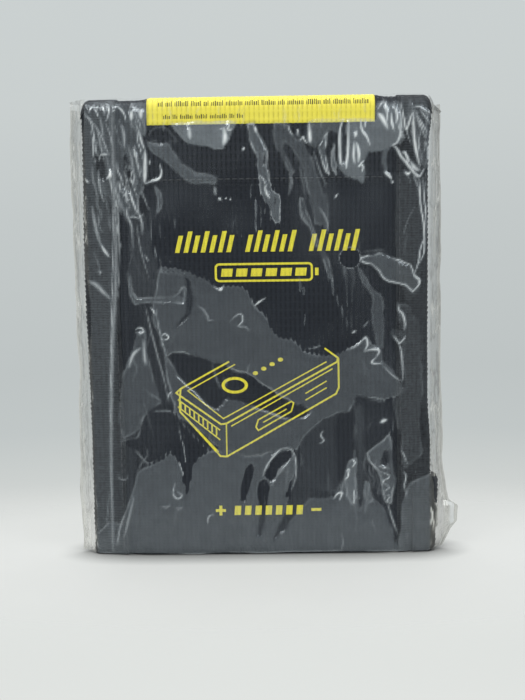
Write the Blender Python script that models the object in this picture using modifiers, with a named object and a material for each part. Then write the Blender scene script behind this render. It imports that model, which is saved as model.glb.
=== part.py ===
"""Fold-over fire-resistant pouch for a drone battery, closed and packed in its clear sleeve.

One strip of ribbed fabric makes the front, the bottom fold and the back. It is carried on over the top as a
cover and a flap, which hangs behind and is held by hook and loop. Tape binds every raw edge.
Metres. X runs across the pouch, -Y is its front and +Z is up. The origin is at the middle of the bottom.
"""

import math

import bmesh
import bpy
from mathutils import Vector

# Outer size of the closed pouch
WIDTH = 0.135
HEIGHT = 0.180
HALF_DEPTH = 0.0065
SEAM_HALF_DEPTH = 0.0036
MOUTH_SEAM_HALF_DEPTH = 0.0052

# Layers, from the outside in, and the clearance left between neighbours
OUTER = 0.0008
INSULATION = 0.0008
LINER = 0.0004
TAPE = 0.0006
GAP = 0.0003

# Side seams: the panels close together towards the tape, and open out a little again near the mouth
PINCH_START = 0.0435
PINCH_FADE_START = 0.120
TAPE_WIDTH = 0.0135
FOLD_RADIUS = 0.0012
TAPE_CORNER = 0.0009
LEAST_RADIUS = 0.0004
TAPE_LOW = 0.0004

# Mouth, closure and label
MOUTH_HEIGHT = 0.166
BAND_HEIGHT = 0.0298
BAND_THICKNESS = 0.0008
FLAP_LENGTH = 0.062
STRIP_HEIGHT = 0.020
HOOK_HALF_WIDTH = 0.048
LOOP_HALF_WIDTH = 0.043
STRIP_THICKNESS = 0.0010
LABEL_LEFT = -0.0422
LABEL_RIGHT = 0.0454
LABEL_DROP = 0.0106
LABEL_BACK_END = 0.150
LABEL = 0.0003
THREAD = 0.0004
SEAM_THREAD_INSET = 0.0015
SEAM_THREAD_LOW = 0.003
SEAM_THREAD_DROP = 0.001
BAND_THREAD_RISE = 0.0021
HOOK_THREAD_INSET = 0.0015

# Tape end lapped round the right seam at the bottom corner
TAIL_INNER = 0.060
TAIL_OUTER = 0.0705
TAIL_HEIGHT = 0.0315

# Clear sleeve: its depth follows the pouch, and steps out behind the flap
SLEEVE_HALF_WIDTH = 0.0728
SLEEVE_LOW = 0.0012
SLEEVE_TOP = 0.183
SLEEVE_FILM = 0.0003
SLEEVE_CORNER = 0.004
SLEEVE_BODY_DEPTH = 0.0071
SLEEVE_MOUTH_DEPTH = 0.0078
SLEEVE_FLAP_DEPTH = 0.0124
SLEEVE_STEP = 0.006
VENT_X = 0.0354
VENT_Z = 0.1177
VENT_RADIUS = 0.0038
VENT_SIDES = 32

# Fineness: steps across the strip, up each of its panels and round its folds
STEPS_ACROSS = 28
STEPS_UP = 9
FOLD_STEPS = 4
CORNER_STEPS = 3
SEAM_STEPS = 14
TAIL_STEPS = 6
THREAD_STEPS = 12
SOFT_EDGE = 0.0001

# Worked out from the above
EDGE = WIDTH / 2 - TAPE - GAP
TAPE_STAND_OFF = TAPE + GAP
INSULATION_INSET = OUTER + GAP
LINER_INSET = INSULATION_INSET + INSULATION + GAP
WALL = LINER_INSET + LINER
COVER_OUTER_RISE = TAPE + GAP + LINER + GAP
COVER_TOP_RISE = COVER_OUTER_RISE + OUTER
COVER_TAPE_RISE = COVER_TOP_RISE + GAP + TAPE
FOLD_HEIGHT = HEIGHT - COVER_TAPE_RISE
PANEL_TOP = FOLD_HEIGHT - GAP
FRONT_FOLD_Y = COVER_TOP_RISE - HALF_DEPTH
LOOP_BACK = HALF_DEPTH + GAP + STRIP_THICKNESS
BACK_FOLD_Y = LOOP_BACK + GAP / 2
HOOK_BACK = LOOP_BACK + GAP + STRIP_THICKNESS
FLAP_LINING_Y = HOOK_BACK + GAP
FLAP_OUTER_Y = FLAP_LINING_Y + LINER + GAP
FLAP_BACK = FLAP_OUTER_Y + OUTER
BACK_FOLD_HEIGHT = FOLD_HEIGHT + COVER_TOP_RISE - (FLAP_BACK - BACK_FOLD_Y)
FLAP_TOP = BACK_FOLD_HEIGHT - GAP / 2
FLAP_END = FLAP_TOP - FLAP_LENGTH
STRIP_LOW = FLAP_END + TAPE_WIDTH + GAP
STRIP_HIGH = STRIP_LOW + STRIP_HEIGHT

# Colour, roughness and metallic value of each kind of piece
FINISHES = {
    "ribbed_fabric": ((0.020, 0.022, 0.028), 0.75, 0.0),
    "binding_tape": ((0.018, 0.019, 0.024), 0.80, 0.0),
    "insulation": ((0.62, 0.60, 0.55), 0.90, 0.0),
    "liner": ((0.10, 0.10, 0.11), 0.60, 0.0),
    "hook_and_loop": ((0.015, 0.015, 0.017), 0.95, 0.0),
    "thread": ((0.030, 0.031, 0.036), 0.70, 0.0),
    "label": ((0.85, 0.74, 0.06), 0.55, 0.0),
    "clear_film": ((0.90, 0.92, 0.93), 0.12, 0.0),
}
FILM_ALPHA = 0.18


def clear_scene():
    """Starts from an empty scene."""
    for obj in list(bpy.data.objects):
        bpy.data.objects.remove(obj, do_unlink=True)


def new_collection(name):
    collection = bpy.data.collections.new(name)
    bpy.context.scene.collection.children.link(collection)
    return collection


def add_finish(obj, kind):
    """Gives a piece its own Principled material."""
    colour, roughness, metallic = FINISHES[kind]
    material = bpy.data.materials.new(f"{obj.name}_{kind}")
    material.use_nodes = True
    shader = material.node_tree.nodes["Principled BSDF"]
    shader.inputs["Base Color"].default_value = (*colour, 1.0)
    shader.inputs["Roughness"].default_value = roughness
    shader.inputs["Metallic"].default_value = metallic
    if kind == "clear_film":
        shader.inputs["Alpha"].default_value = FILM_ALPHA
    obj.data.materials.append(material)


def add_piece(name, mesh, collection, kind):
    """Puts a mesh or curve in the scene as a named, finished piece."""
    obj = bpy.data.objects.new(name, mesh)
    collection.objects.link(obj)
    add_finish(obj, kind)
    return obj


def smooth_step(value):
    t = min(max(value, 0.0), 1.0)
    return t * t * (3 - 2 * t)


def half_depth(x, z):
    """Half the pouch's depth: full in the middle and pinched along the side seams, less so near the mouth."""
    towards_seam = smooth_step((abs(x) - PINCH_START) / (EDGE - PINCH_START))
    near_mouth = smooth_step((z - PINCH_FADE_START) / (PANEL_TOP - PINCH_FADE_START))
    seam_half_depth = SEAM_HALF_DEPTH + (MOUTH_SEAM_HALF_DEPTH - SEAM_HALF_DEPTH) * near_mouth
    return HALF_DEPTH + (seam_half_depth - HALF_DEPTH) * towards_seam


def sleeve_front(z):
    """Where the sleeve's front lies: close to the pouch, and a little further out near the mouth."""
    near_mouth = smooth_step((z - PINCH_START) / (PINCH_FADE_START - PINCH_START))
    return -SLEEVE_BODY_DEPTH - (SLEEVE_MOUTH_DEPTH - SLEEVE_BODY_DEPTH) * near_mouth


def sleeve_back(z):
    """Where the sleeve's back lies: close to the pouch, and stepped out just below the flap's end."""
    behind_flap = min(max((z - FLAP_END + SLEEVE_STEP + GAP) / SLEEVE_STEP, 0.0), 1.0)
    return SLEEVE_BODY_DEPTH + (SLEEVE_FLAP_DEPTH - SLEEVE_BODY_DEPTH) * behind_flap


def sheet(name, rows, thickness, inside, collection, kind):
    """A closed solid sheet: a grid laid through rows of points, thickened towards the point `inside`."""
    across, along = len(rows) - 1, len(rows[0]) - 1
    mesh = bpy.data.meshes.new(name)
    grid = bmesh.new()
    bmesh.ops.create_grid(grid, x_segments=across, y_segments=along, size=1.0)
    for vertex in grid.verts:
        column = round((vertex.co.x + 1) / 2 * across)
        station = round((vertex.co.y + 1) / 2 * along)
        vertex.co = rows[column][station]
    grid.normal_update()
    grid.faces.ensure_lookup_table()
    first = grid.faces[0]
    towards = first.normal.dot(Vector(inside) - first.calc_center_median())
    grid.to_mesh(mesh)
    grid.free()
    obj = add_piece(name, mesh, collection, kind)
    solid = obj.modifiers.new("thickness", "SOLIDIFY")
    solid.thickness = thickness
    solid.offset = 1.0 if towards > 0 else -1.0
    solid.use_even_offset = True
    obj.data.shade_smooth()
    return obj


def plate(name, low, high, collection, kind, edge=SOFT_EDGE):
    """A flat piece between two corners, with its edges softened."""
    mesh = bpy.data.meshes.new(name)
    cube = bmesh.new()
    bmesh.ops.create_cube(cube, size=1.0)
    size = Vector(high) - Vector(low)
    bmesh.ops.scale(cube, vec=size, verts=cube.verts)
    bmesh.ops.translate(cube, vec=(Vector(high) + Vector(low)) / 2, verts=cube.verts)
    cube.to_mesh(mesh)
    cube.free()
    obj = add_piece(name, mesh, collection, kind)
    bevel = obj.modifiers.new("soft_edges", "BEVEL")
    bevel.width = edge
    bevel.segments = 1
    bevel.limit_method = "ANGLE"
    return obj


def spread(start, end, steps):
    return [start + (end - start) * i / steps for i in range(steps + 1)]


def arc(centre, radius, start_deg, end_deg, steps):
    """Points on an arc in a plane, as (first, second) coordinates."""
    points = []
    for degrees in spread(start_deg, end_deg, steps):
        angle = math.radians(degrees)
        points.append((centre[0] + radius * math.cos(angle), centre[1] + radius * math.sin(angle)))
    return points


def folded_layer(name, inset, thickness, collection, kind):
    """One layer of the strip: down the front, round the bottom fold and up the back to the mouth."""
    rows = []
    radius = max(FOLD_RADIUS - inset, LEAST_RADIUS)
    reach = EDGE - (GAP if inset else 0)
    for x in spread(-reach, reach, STEPS_ACROSS):
        bottom_half = half_depth(x, 0.0) - inset
        centre_z = inset + radius
        front = [(inset - half_depth(x, z), z) for z in spread(PANEL_TOP, centre_z, STEPS_UP)[:-1]]
        front_arc = arc((radius - bottom_half, centre_z), radius, 180, 270, FOLD_STEPS)
        back_arc = arc((bottom_half - radius, centre_z), radius, 270, 360, FOLD_STEPS)
        back = [(half_depth(x, z) - inset, z) for z in spread(centre_z, MOUTH_HEIGHT, STEPS_UP)[1:]]
        rows.append([(x, y, z) for y, z in front + front_arc + back_arc + back])
    return sheet(name, rows, thickness, (0, 0, HEIGHT / 2), collection, kind)


def side_binding(name, side, collection):
    """Tape folded round one side seam, from the bottom to the top fold. side is -1 left, +1 right."""
    rows = []
    for z in spread(TAPE_LOW, PANEL_TOP, SEAM_STEPS):
        front = []
        for x in spread(WIDTH / 2 - TAPE_WIDTH, WIDTH / 2 - TAPE_CORNER, FOLD_STEPS):
            front.append((x, -half_depth(x, z) - TAPE_STAND_OFF))
        corner_y = TAPE_CORNER + front[-1][1]
        corner = arc((WIDTH / 2 - TAPE_CORNER, corner_y), TAPE_CORNER, 270, 360, CORNER_STEPS)[1:]
        half = front + corner
        path = half + [(x, -y) for x, y in reversed(half)]
        rows.append([(side * x, y, z) for x, y in path])
    inside = (side * WIDTH / 4, 0, 0)
    return sheet(name, rows, TAPE, inside, collection, "binding_tape")


def tape_tail(collection):
    """The cut end of the right binding, lapped round the seam again and standing a little proud."""
    stand_off = TAPE_STAND_OFF + GAP + TAPE
    rows = []
    for z in spread(TAPE_LOW, TAIL_HEIGHT, TAIL_STEPS):
        front = []
        for x in spread(TAIL_INNER, WIDTH / 2, CORNER_STEPS):
            front.append((x, -half_depth(x, z) - stand_off))
        tip = (TAIL_OUTER - TAPE_CORNER, -TAPE_CORNER - TAPE)
        corner = arc(tip, TAPE_CORNER, 270, 360, CORNER_STEPS)
        half = front + corner
        rows.append([(x, y, z) for x, y in half + [(x, -y) for x, y in reversed(half)]])
    return sheet("binding_tail_right", rows, TAPE, (WIDTH / 4, 0, 0), collection, "binding_tape")


def channel(name, path, span, place, inside, collection):
    """Tape folded round a straight edge: a path in one plane, drawn out along `span`."""
    rows = [[place(a, b, along) for a, b in path] for along in span]
    return sheet(name, rows, TAPE, inside, collection, "binding_tape")


def folded_edge(low, high, near, far, corner=TAPE_CORNER):
    """The outer line of tape round an edge: out along one face at `low`, round `far` and back at `high`."""
    first = arc((far - corner, low + corner), corner, 270, 360, CORNER_STEPS)
    second = arc((far - corner, high - corner), corner, 0, 90, CORNER_STEPS)
    return [(near, low)] + first + second + [(near, high)]


def thread(name, points, closed, collection):
    """A line of sewing thread through a list of points."""
    curve = bpy.data.curves.new(name, "CURVE")
    curve.dimensions = "3D"
    curve.bevel_depth = THREAD / 2
    curve.bevel_resolution = 1
    curve.use_fill_caps = True
    spline = curve.splines.new("POLY")
    spline.points.add(len(points) - 1)
    for point, place in zip(spline.points, points):
        point.co = (*place, 1.0)
    spline.use_cyclic_u = closed
    return add_piece(name, curve, collection, "thread")


def make_pouch(collection):
    """Everything that stays put: the folded strip, its lining, bindings, facing and loop strip."""
    folded_layer("outer_shell", 0.0, OUTER, collection, "ribbed_fabric")
    folded_layer("insulation_layer", INSULATION_INSET, INSULATION, collection, "insulation")
    folded_layer("inner_liner", LINER_INSET, LINER, collection, "liner")
    side_binding("side_binding_left", -1, collection)
    side_binding("side_binding_right", 1, collection)
    tape_tail(collection)

    mouth_path = folded_edge(
        HALF_DEPTH - WALL - TAPE_STAND_OFF,
        HALF_DEPTH + TAPE_STAND_OFF,
        MOUTH_HEIGHT - TAPE_WIDTH,
        MOUTH_HEIGHT + TAPE_STAND_OFF,
    )
    channel(
        "mouth_binding",
        mouth_path,
        spread(-PINCH_START, PINCH_START, 2),
        lambda z, y, x: (x, y, z),
        (0, HALF_DEPTH - WALL / 2, MOUTH_HEIGHT - TAPE_WIDTH),
        collection,
    )

    band_front = WALL + GAP - HALF_DEPTH
    plate(
        "closure_facing",
        (-PINCH_START, band_front, PANEL_TOP - BAND_HEIGHT),
        (PINCH_START, band_front + BAND_THICKNESS, PANEL_TOP),
        collection,
        "binding_tape",
    )
    plate(
        "loop_strip",
        (-LOOP_HALF_WIDTH, HALF_DEPTH + GAP, STRIP_LOW),
        (LOOP_HALF_WIDTH, LOOP_BACK, STRIP_HIGH),
        collection,
        "hook_and_loop",
    )
    plate(
        "label_front",
        (LABEL_LEFT, -HALF_DEPTH - GAP - LABEL, HEIGHT - LABEL_DROP),
        (LABEL_RIGHT, -HALF_DEPTH - GAP, PANEL_TOP),
        collection,
        "label",
        LABEL / 4,
    )

    seam_x = WIDTH / 2 - TAPE_WIDTH + SEAM_THREAD_INSET
    stand_off = TAPE_STAND_OFF + GAP + THREAD / 2
    seam_starts = (("seam_thread_left", -1, SEAM_THREAD_LOW), ("seam_thread_right", 1, TAIL_HEIGHT + GAP))
    for name, side, low in seam_starts:
        heights = spread(low, PANEL_TOP - SEAM_THREAD_DROP, THREAD_STEPS)
        points = [(side * seam_x, -half_depth(seam_x, z) - stand_off, z) for z in heights]
        thread(name, points, False, collection)
    band_z = PANEL_TOP - BAND_HEIGHT + BAND_THREAD_RISE
    band_y = -HALF_DEPTH - GAP - THREAD / 2
    band_line = spread(-PINCH_START, PINCH_START, THREAD_STEPS // 2)
    thread("band_thread", [(x, band_y, band_z) for x in band_line], False, collection)


def make_cover(collection):
    """The short stretch over the mouth, between the front fold and the back fold."""
    front, back = FRONT_FOLD_Y + GAP / 2, BACK_FOLD_Y - GAP / 2
    lining_low = FOLD_HEIGHT + TAPE + GAP
    outer_low = FOLD_HEIGHT + COVER_OUTER_RISE
    top = FOLD_HEIGHT + COVER_TOP_RISE
    plate("cover_outer", (-EDGE, front, outer_low), (EDGE, back, top), collection, "ribbed_fabric")
    plate("cover_lining", (-EDGE, front, lining_low), (EDGE, back, lining_low + LINER), collection, "liner")
    path = folded_edge(FOLD_HEIGHT, HEIGHT, WIDTH / 2 - TAPE_WIDTH, WIDTH / 2)
    for side, name in ((-1, "cover_binding_left"), (1, "cover_binding_right")):
        channel(
            name,
            path,
            spread(front, back, 1),
            lambda x, z, y, side=side: (side * x, y, z),
            (side * (WIDTH / 2 - TAPE_WIDTH), 0, (FOLD_HEIGHT + HEIGHT) / 2),
            collection,
        )
    plate(
        "label_cover",
        (LABEL_LEFT, front, top + GAP),
        (LABEL_RIGHT, back, top + GAP + LABEL),
        collection,
        "label",
        LABEL / 4,
    )


def make_flap(collection):
    """The flap that hangs behind, with its hook strip inside and the rest of the label outside."""
    edge_low = FLAP_END + TAPE_STAND_OFF
    plate(
        "flap_outer",
        (-EDGE, FLAP_OUTER_Y, edge_low),
        (EDGE, FLAP_BACK, FLAP_TOP),
        collection,
        "ribbed_fabric",
    )
    plate(
        "flap_lining",
        (-EDGE, FLAP_LINING_Y, edge_low),
        (EDGE, FLAP_LINING_Y + LINER, FLAP_TOP),
        collection,
        "liner",
    )
    inner_face = FLAP_LINING_Y - TAPE_STAND_OFF
    outer_face = FLAP_BACK + TAPE_STAND_OFF
    middle = (inner_face + outer_face) / 2
    side_path = folded_edge(inner_face, outer_face, WIDTH / 2 - TAPE_WIDTH, WIDTH / 2)
    side_low = FLAP_END + TAPE_WIDTH + GAP
    for side, name in ((-1, "flap_binding_left"), (1, "flap_binding_right")):
        channel(
            name,
            side_path,
            spread(side_low, FLAP_TOP, 1),
            lambda x, y, z, side=side: (side * x, y, z),
            (side * (WIDTH / 2 - TAPE_WIDTH), middle, (side_low + FLAP_TOP) / 2),
            collection,
        )
    end_path = [(-z, y) for z, y in folded_edge(inner_face, outer_face, -FLAP_END - TAPE_WIDTH, -FLAP_END)]
    channel(
        "flap_end_binding",
        end_path,
        spread(-WIDTH / 2, WIDTH / 2, 2),
        lambda z, y, x: (x, y, z),
        (0, middle, FLAP_END + TAPE_WIDTH),
        collection,
    )
    plate(
        "hook_strip",
        (-HOOK_HALF_WIDTH, LOOP_BACK + GAP, STRIP_LOW),
        (HOOK_HALF_WIDTH, HOOK_BACK, STRIP_HIGH),
        collection,
        "hook_and_loop",
    )
    plate(
        "label_flap",
        (LABEL_LEFT, FLAP_BACK + GAP, LABEL_BACK_END),
        (LABEL_RIGHT, FLAP_BACK + GAP + LABEL, FLAP_TOP),
        collection,
        "label",
        LABEL / 4,
    )
    thread_y = FLAP_BACK + GAP + THREAD / 2
    low, high = STRIP_LOW + HOOK_THREAD_INSET, STRIP_HIGH - HOOK_THREAD_INSET
    reach = HOOK_HALF_WIDTH - HOOK_THREAD_INSET
    corners = [(-reach, low), (reach, low), (reach, high), (-reach, high)]
    thread("hook_thread", [(x, thread_y, z) for x, z in corners], True, collection)


def make_sleeve(collection, cutters):
    """The clear sleeve: closed at the top, open at the bottom, with a round vent hole in front."""
    mesh = bpy.data.meshes.new("clear_sleeve")
    tube = bmesh.new()
    bmesh.ops.create_cube(tube, size=1.0)
    low = Vector((-SLEEVE_HALF_WIDTH, -SLEEVE_BODY_DEPTH, SLEEVE_LOW))
    high = Vector((SLEEVE_HALF_WIDTH, SLEEVE_BODY_DEPTH, SLEEVE_TOP))
    bmesh.ops.scale(tube, vec=high - low, verts=tube.verts)
    bmesh.ops.translate(tube, vec=(high + low) / 2, verts=tube.verts)
    bottom = [face for face in tube.faces if face.normal.z < -0.5]
    bmesh.ops.delete(tube, geom=bottom, context="FACES_ONLY")
    upright = [edge for edge in tube.edges if abs(edge.verts[0].co.z - edge.verts[1].co.z) > HEIGHT / 2]
    bmesh.ops.bevel(tube, geom=upright, offset=SLEEVE_CORNER, segments=4, profile=0.5, affect="EDGES")
    step_top = FLAP_END - GAP
    for height in spread(PINCH_START, step_top - SLEEVE_STEP, 4) + [step_top, PINCH_FADE_START]:
        everything = list(tube.verts) + list(tube.edges) + list(tube.faces)
        bmesh.ops.bisect_plane(tube, geom=everything, plane_co=(0, 0, height), plane_no=(0, 0, 1))
    for vertex in tube.verts:
        share = (vertex.co.y + SLEEVE_BODY_DEPTH) / (2 * SLEEVE_BODY_DEPTH)
        front, back = sleeve_front(vertex.co.z), sleeve_back(vertex.co.z)
        vertex.co.y = front + (back - front) * share
    tube.to_mesh(mesh)
    tube.free()
    sleeve = add_piece("clear_sleeve", mesh, collection, "clear_film")
    solid = sleeve.modifiers.new("film", "SOLIDIFY")
    solid.thickness = SLEEVE_FILM
    solid.offset = -1.0
    solid.use_even_offset = True

    hole_mesh = bpy.data.meshes.new("vent_cutter")
    hole = bmesh.new()
    bmesh.ops.create_cone(
        hole, cap_ends=True, segments=VENT_SIDES, radius1=VENT_RADIUS, radius2=VENT_RADIUS, depth=VENT_RADIUS
    )
    hole.to_mesh(hole_mesh)
    hole.free()
    cutter = bpy.data.objects.new("vent_cutter", hole_mesh)
    cutters.objects.link(cutter)
    cutter.location = (VENT_X, sleeve_front(VENT_Z), VENT_Z)
    cutter.rotation_euler = (math.pi / 2, 0, 0)
    cutter.hide_render = True
    cutter.display_type = "WIRE"
    cut = sleeve.modifiers.new("vent_hole", "BOOLEAN")
    cut.object = cutter
    cut.operation = "DIFFERENCE"
    cut.solver = "EXACT"


def set_pivot(names, pivot):
    """Moves the origins of some pieces onto a joint's axis, leaving their shapes where they are."""
    for name in names:
        obj = bpy.data.objects[name]
        if obj.type == "CURVE":
            for spline in obj.data.splines:
                for point in spline.points:
                    point.co = (*(point.co.to_3d() - pivot), 1.0)
        else:
            for vertex in obj.data.vertices:
                vertex.co -= pivot
        obj.location = pivot


def main():
    clear_scene()
    bag = new_collection("battery_pouch")
    cutters = new_collection("cutters")
    make_pouch(bag)
    make_cover(bag)
    make_flap(bag)
    make_sleeve(bag, cutters)
    cover_names = [obj.name for obj in bag.objects if "cover" in obj.name]
    flap_names = [obj.name for obj in bag.objects if "flap" in obj.name or obj.name.startswith("hook")]
    set_pivot(cover_names, Vector((0, FRONT_FOLD_Y, FOLD_HEIGHT)))
    set_pivot(flap_names, Vector((0, BACK_FOLD_Y, BACK_FOLD_HEIGHT)))


main()
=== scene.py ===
"""Looks of a fold-over battery pouch packed in its clear sleeve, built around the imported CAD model.

Metres, in the CAD's own frame: X runs across the pouch, -Y is its front and +Z is up.
Running length is measured along the outer strip: up the front, over the top and down the flap behind.
"""

import math

import bpy
import numpy as np
from mathutils import Matrix, Vector


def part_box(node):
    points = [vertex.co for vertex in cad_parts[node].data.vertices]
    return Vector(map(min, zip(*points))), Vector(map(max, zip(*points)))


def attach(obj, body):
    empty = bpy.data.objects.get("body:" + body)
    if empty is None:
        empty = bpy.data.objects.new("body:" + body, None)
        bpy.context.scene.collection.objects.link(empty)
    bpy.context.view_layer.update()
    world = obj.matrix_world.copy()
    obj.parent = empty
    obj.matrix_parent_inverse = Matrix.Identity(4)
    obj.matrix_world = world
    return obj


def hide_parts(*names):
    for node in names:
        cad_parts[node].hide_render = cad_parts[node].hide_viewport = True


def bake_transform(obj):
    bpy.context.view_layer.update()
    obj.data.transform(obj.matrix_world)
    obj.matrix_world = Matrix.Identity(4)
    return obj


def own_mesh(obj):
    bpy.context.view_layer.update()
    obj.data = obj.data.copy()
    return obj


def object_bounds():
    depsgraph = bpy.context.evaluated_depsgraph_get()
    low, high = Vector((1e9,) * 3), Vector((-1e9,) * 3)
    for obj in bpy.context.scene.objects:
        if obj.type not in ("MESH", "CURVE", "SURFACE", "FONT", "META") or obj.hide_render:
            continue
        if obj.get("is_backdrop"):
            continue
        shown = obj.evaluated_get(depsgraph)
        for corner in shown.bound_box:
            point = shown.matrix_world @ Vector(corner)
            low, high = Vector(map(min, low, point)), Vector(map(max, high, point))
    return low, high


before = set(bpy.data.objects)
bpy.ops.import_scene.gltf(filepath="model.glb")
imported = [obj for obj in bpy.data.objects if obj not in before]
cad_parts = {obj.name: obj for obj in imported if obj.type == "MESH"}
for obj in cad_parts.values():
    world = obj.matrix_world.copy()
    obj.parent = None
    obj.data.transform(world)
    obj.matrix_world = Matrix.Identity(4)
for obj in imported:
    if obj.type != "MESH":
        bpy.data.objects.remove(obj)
cad_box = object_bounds()

MM = 0.001

# Places taken from the CAD nodes
shell_low, shell_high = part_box("outer_shell")
tape_low, tape_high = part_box("side_binding_right")
label_low, label_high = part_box("label_front")
hook_low, hook_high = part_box("hook_strip")
loop_low, loop_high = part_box("loop_strip")
tail_low, tail_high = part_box("binding_tail_right")
sleeve_low, sleeve_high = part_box("clear_sleeve")
facing_low, facing_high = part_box("closure_facing")
HALF_DEPTH = -shell_low.y
EDGE = shell_high.x
PANEL_TOP = shell_high.z
SIDE = tape_high.x
TAPE_IN = tape_low.x
TAPE_WIDTH = SIDE - TAPE_IN
COVER_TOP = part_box("cover_outer")[1].z
FLAP_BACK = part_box("flap_outer")[1].y
FLAP_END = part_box("flap_end_binding")[0].z
TAPE_RISE = 0.9 * MM
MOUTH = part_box("mouth_binding")[1].z - TAPE_RISE
LABEL_LOW = label_low.z
LABEL_LEFT, LABEL_RIGHT = label_low.x, label_high.x
LABEL_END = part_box("label_flap")[0].z
BAND_LOW = facing_low.z

# The pouch's section: full in the middle, pinched towards the side seams
PINCH_START = facing_high.x
PINCH_FADE = 120 * MM
SEAM_DEPTH = 3.0 * MM
MOUTH_SEAM_DEPTH = 4.8 * MM
BASE_RADIUS = 1.6 * MM
BASE_TOP = 4 * MM

# Weave
RIB_PITCH = 1.85 * MM
RIB_HEIGHT = 0.26 * MM
ROW_PITCH = 3.05 * MM
TAPE_RIB = 1.02 * MM
TAPE_KNOT = 1.9 * MM
TAPE_STEP = TAPE_RIB / 6  # between points along a tape
TAPE_TURN = 3.2 * MM  # how far in from its folded edge a tape begins to turn
TAPE_TUCK = 0.35 * MM  # how far the folded edge is drawn in
TAPE_INNER = -2.4 * MM  # the inner face of a tape on the cover and the flap
ON_LEAF = 0.9999  # in a side tape's section, a rise beyond this is on one of its two flat leaves
BAND_STITCH = BAND_LOW + 2.1 * MM

# Running lengths along the outer strip
FOLD_RADIUS = 4.1 * MM
FOLD_Z = COVER_TOP - FOLD_RADIUS
BACK_FOLD_Y = FLAP_BACK - FOLD_RADIUS
TOP_RUN = BACK_FOLD_Y + HALF_DEPTH - FOLD_RADIUS
QUARTER = FOLD_RADIUS * math.pi / 2
S_FOLD = FOLD_Z
S_TOP = S_FOLD + QUARTER
S_MIDDLE = S_TOP + TOP_RUN / 2
S_BACK = S_TOP + TOP_RUN
S_FLAP = S_BACK + QUARTER
S_END = S_FLAP + FOLD_Z - FLAP_END
S_LABEL_END = S_FLAP + FOLD_Z - LABEL_END

# Where fabric bends between two bodies
FRONT_BEND = ((0, -5.5 * MM, 173.5 * MM), (0, 0.5 * MM, 179.5 * MM))
BACK_BEND = ((0, 4.5 * MM, 179.5 * MM), (0, 10.5 * MM, 173.5 * MM))


# ---------------------------------------------------------------- shapes


def smooth(value):
    t = np.clip(value, 0.0, 1.0)
    return t * t * (3 - 2 * t)


def bump(distance, width):
    return np.exp(-((distance / width) ** 2))


def lattice(x, z, seed):
    """A smooth random field between -1 and 1, with features about one unit wide."""
    table = np.random.default_rng(seed).uniform(-1, 1, (256, 256))
    column, row = np.floor(x).astype(int), np.floor(z).astype(int)
    u, v = x - column, z - row
    u = u * u * u * (u * (u * 6 - 15) + 10)
    v = v * v * v * (v * (v * 6 - 15) + 10)
    a, b = column % 256, (column + 1) % 256
    c, d = row % 256, (row + 1) % 256
    low = table[a, c] * (1 - u) + table[b, c] * u
    high = table[a, d] * (1 - u) + table[b, d] * u
    return low * (1 - v) + high * v


def noise_field(x, z, size, seed, octaves=3, tall=1.0):
    """Several layers of random field. `tall` stretches its features upwards."""
    total, weight, scale, height = 0.0, 1.0, 1 / size, 0.0
    for octave in range(octaves):
        angle = 0.6 * octave
        a = (x * math.cos(angle) + z / tall * math.sin(angle)) * scale
        b = (z / tall * math.cos(angle) - x * math.sin(angle)) * scale
        total = total + weight * lattice(a + 7.3 * octave, b + 3.1, seed + octave)
        height += weight
        weight *= 0.5
        scale *= 2.07
    return total / height * 1.6


def half_depth(x, z):
    """Half the pouch's depth."""
    towards_seam = smooth((np.abs(x) - PINCH_START) / (EDGE - PINCH_START))
    near_mouth = smooth((z - PINCH_FADE) / (PANEL_TOP - PINCH_FADE))
    seam = SEAM_DEPTH + (MOUTH_SEAM_DEPTH - SEAM_DEPTH) * near_mouth
    return HALF_DEPTH + (seam - HALF_DEPTH) * towards_seam


def strip(x, s, lift):
    """A point of the outer strip at running length s, `lift` out of its face."""
    x, s, lift = np.broadcast_arrays(x, s, lift)
    first = np.clip((s - S_FOLD) / FOLD_RADIUS, 0, math.pi / 2)
    second = np.clip((s - S_BACK) / FOLD_RADIUS, 0, math.pi / 2)
    along = np.clip((s - S_TOP) / TOP_RUN, 0, 1)
    reach = FOLD_RADIUS + lift
    start = FOLD_RADIUS - half_depth(x, np.minimum(s, S_FOLD))
    y = start - reach * np.cos(first) + (BACK_FOLD_Y - start) * along + reach * np.sin(second)
    z = np.minimum(s, S_FOLD) + reach * np.sin(first) - reach * (1 - np.cos(second))
    z = z - np.maximum(s - S_FLAP, 0)
    return np.stack([x, y, z], -1)


def base(x, u, lift, radius, low):
    """A point round the bottom fold: u runs 0-1 round the front, 1-2 across, 2-3 round the back, 3-4 up."""
    x, u, lift = np.broadcast_arrays(x, u, lift)
    half = half_depth(x, 0 * x) + lift
    first = np.clip(u, 0, 1) * math.pi / 2
    second = np.clip(u - 2, 0, 1) * math.pi / 2
    y = radius * (1 - np.cos(first)) - half + (2 * half - 2 * radius) * np.clip(u - 1, 0, 1)
    y = y + radius * np.sin(second)
    z = low + radius * (1 - np.sin(first)) + radius * (1 - np.cos(second))
    z = z + (BASE_TOP - low - radius) * np.clip(u - 3, 0, 1)
    return np.stack([x, y, z], -1)


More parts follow.
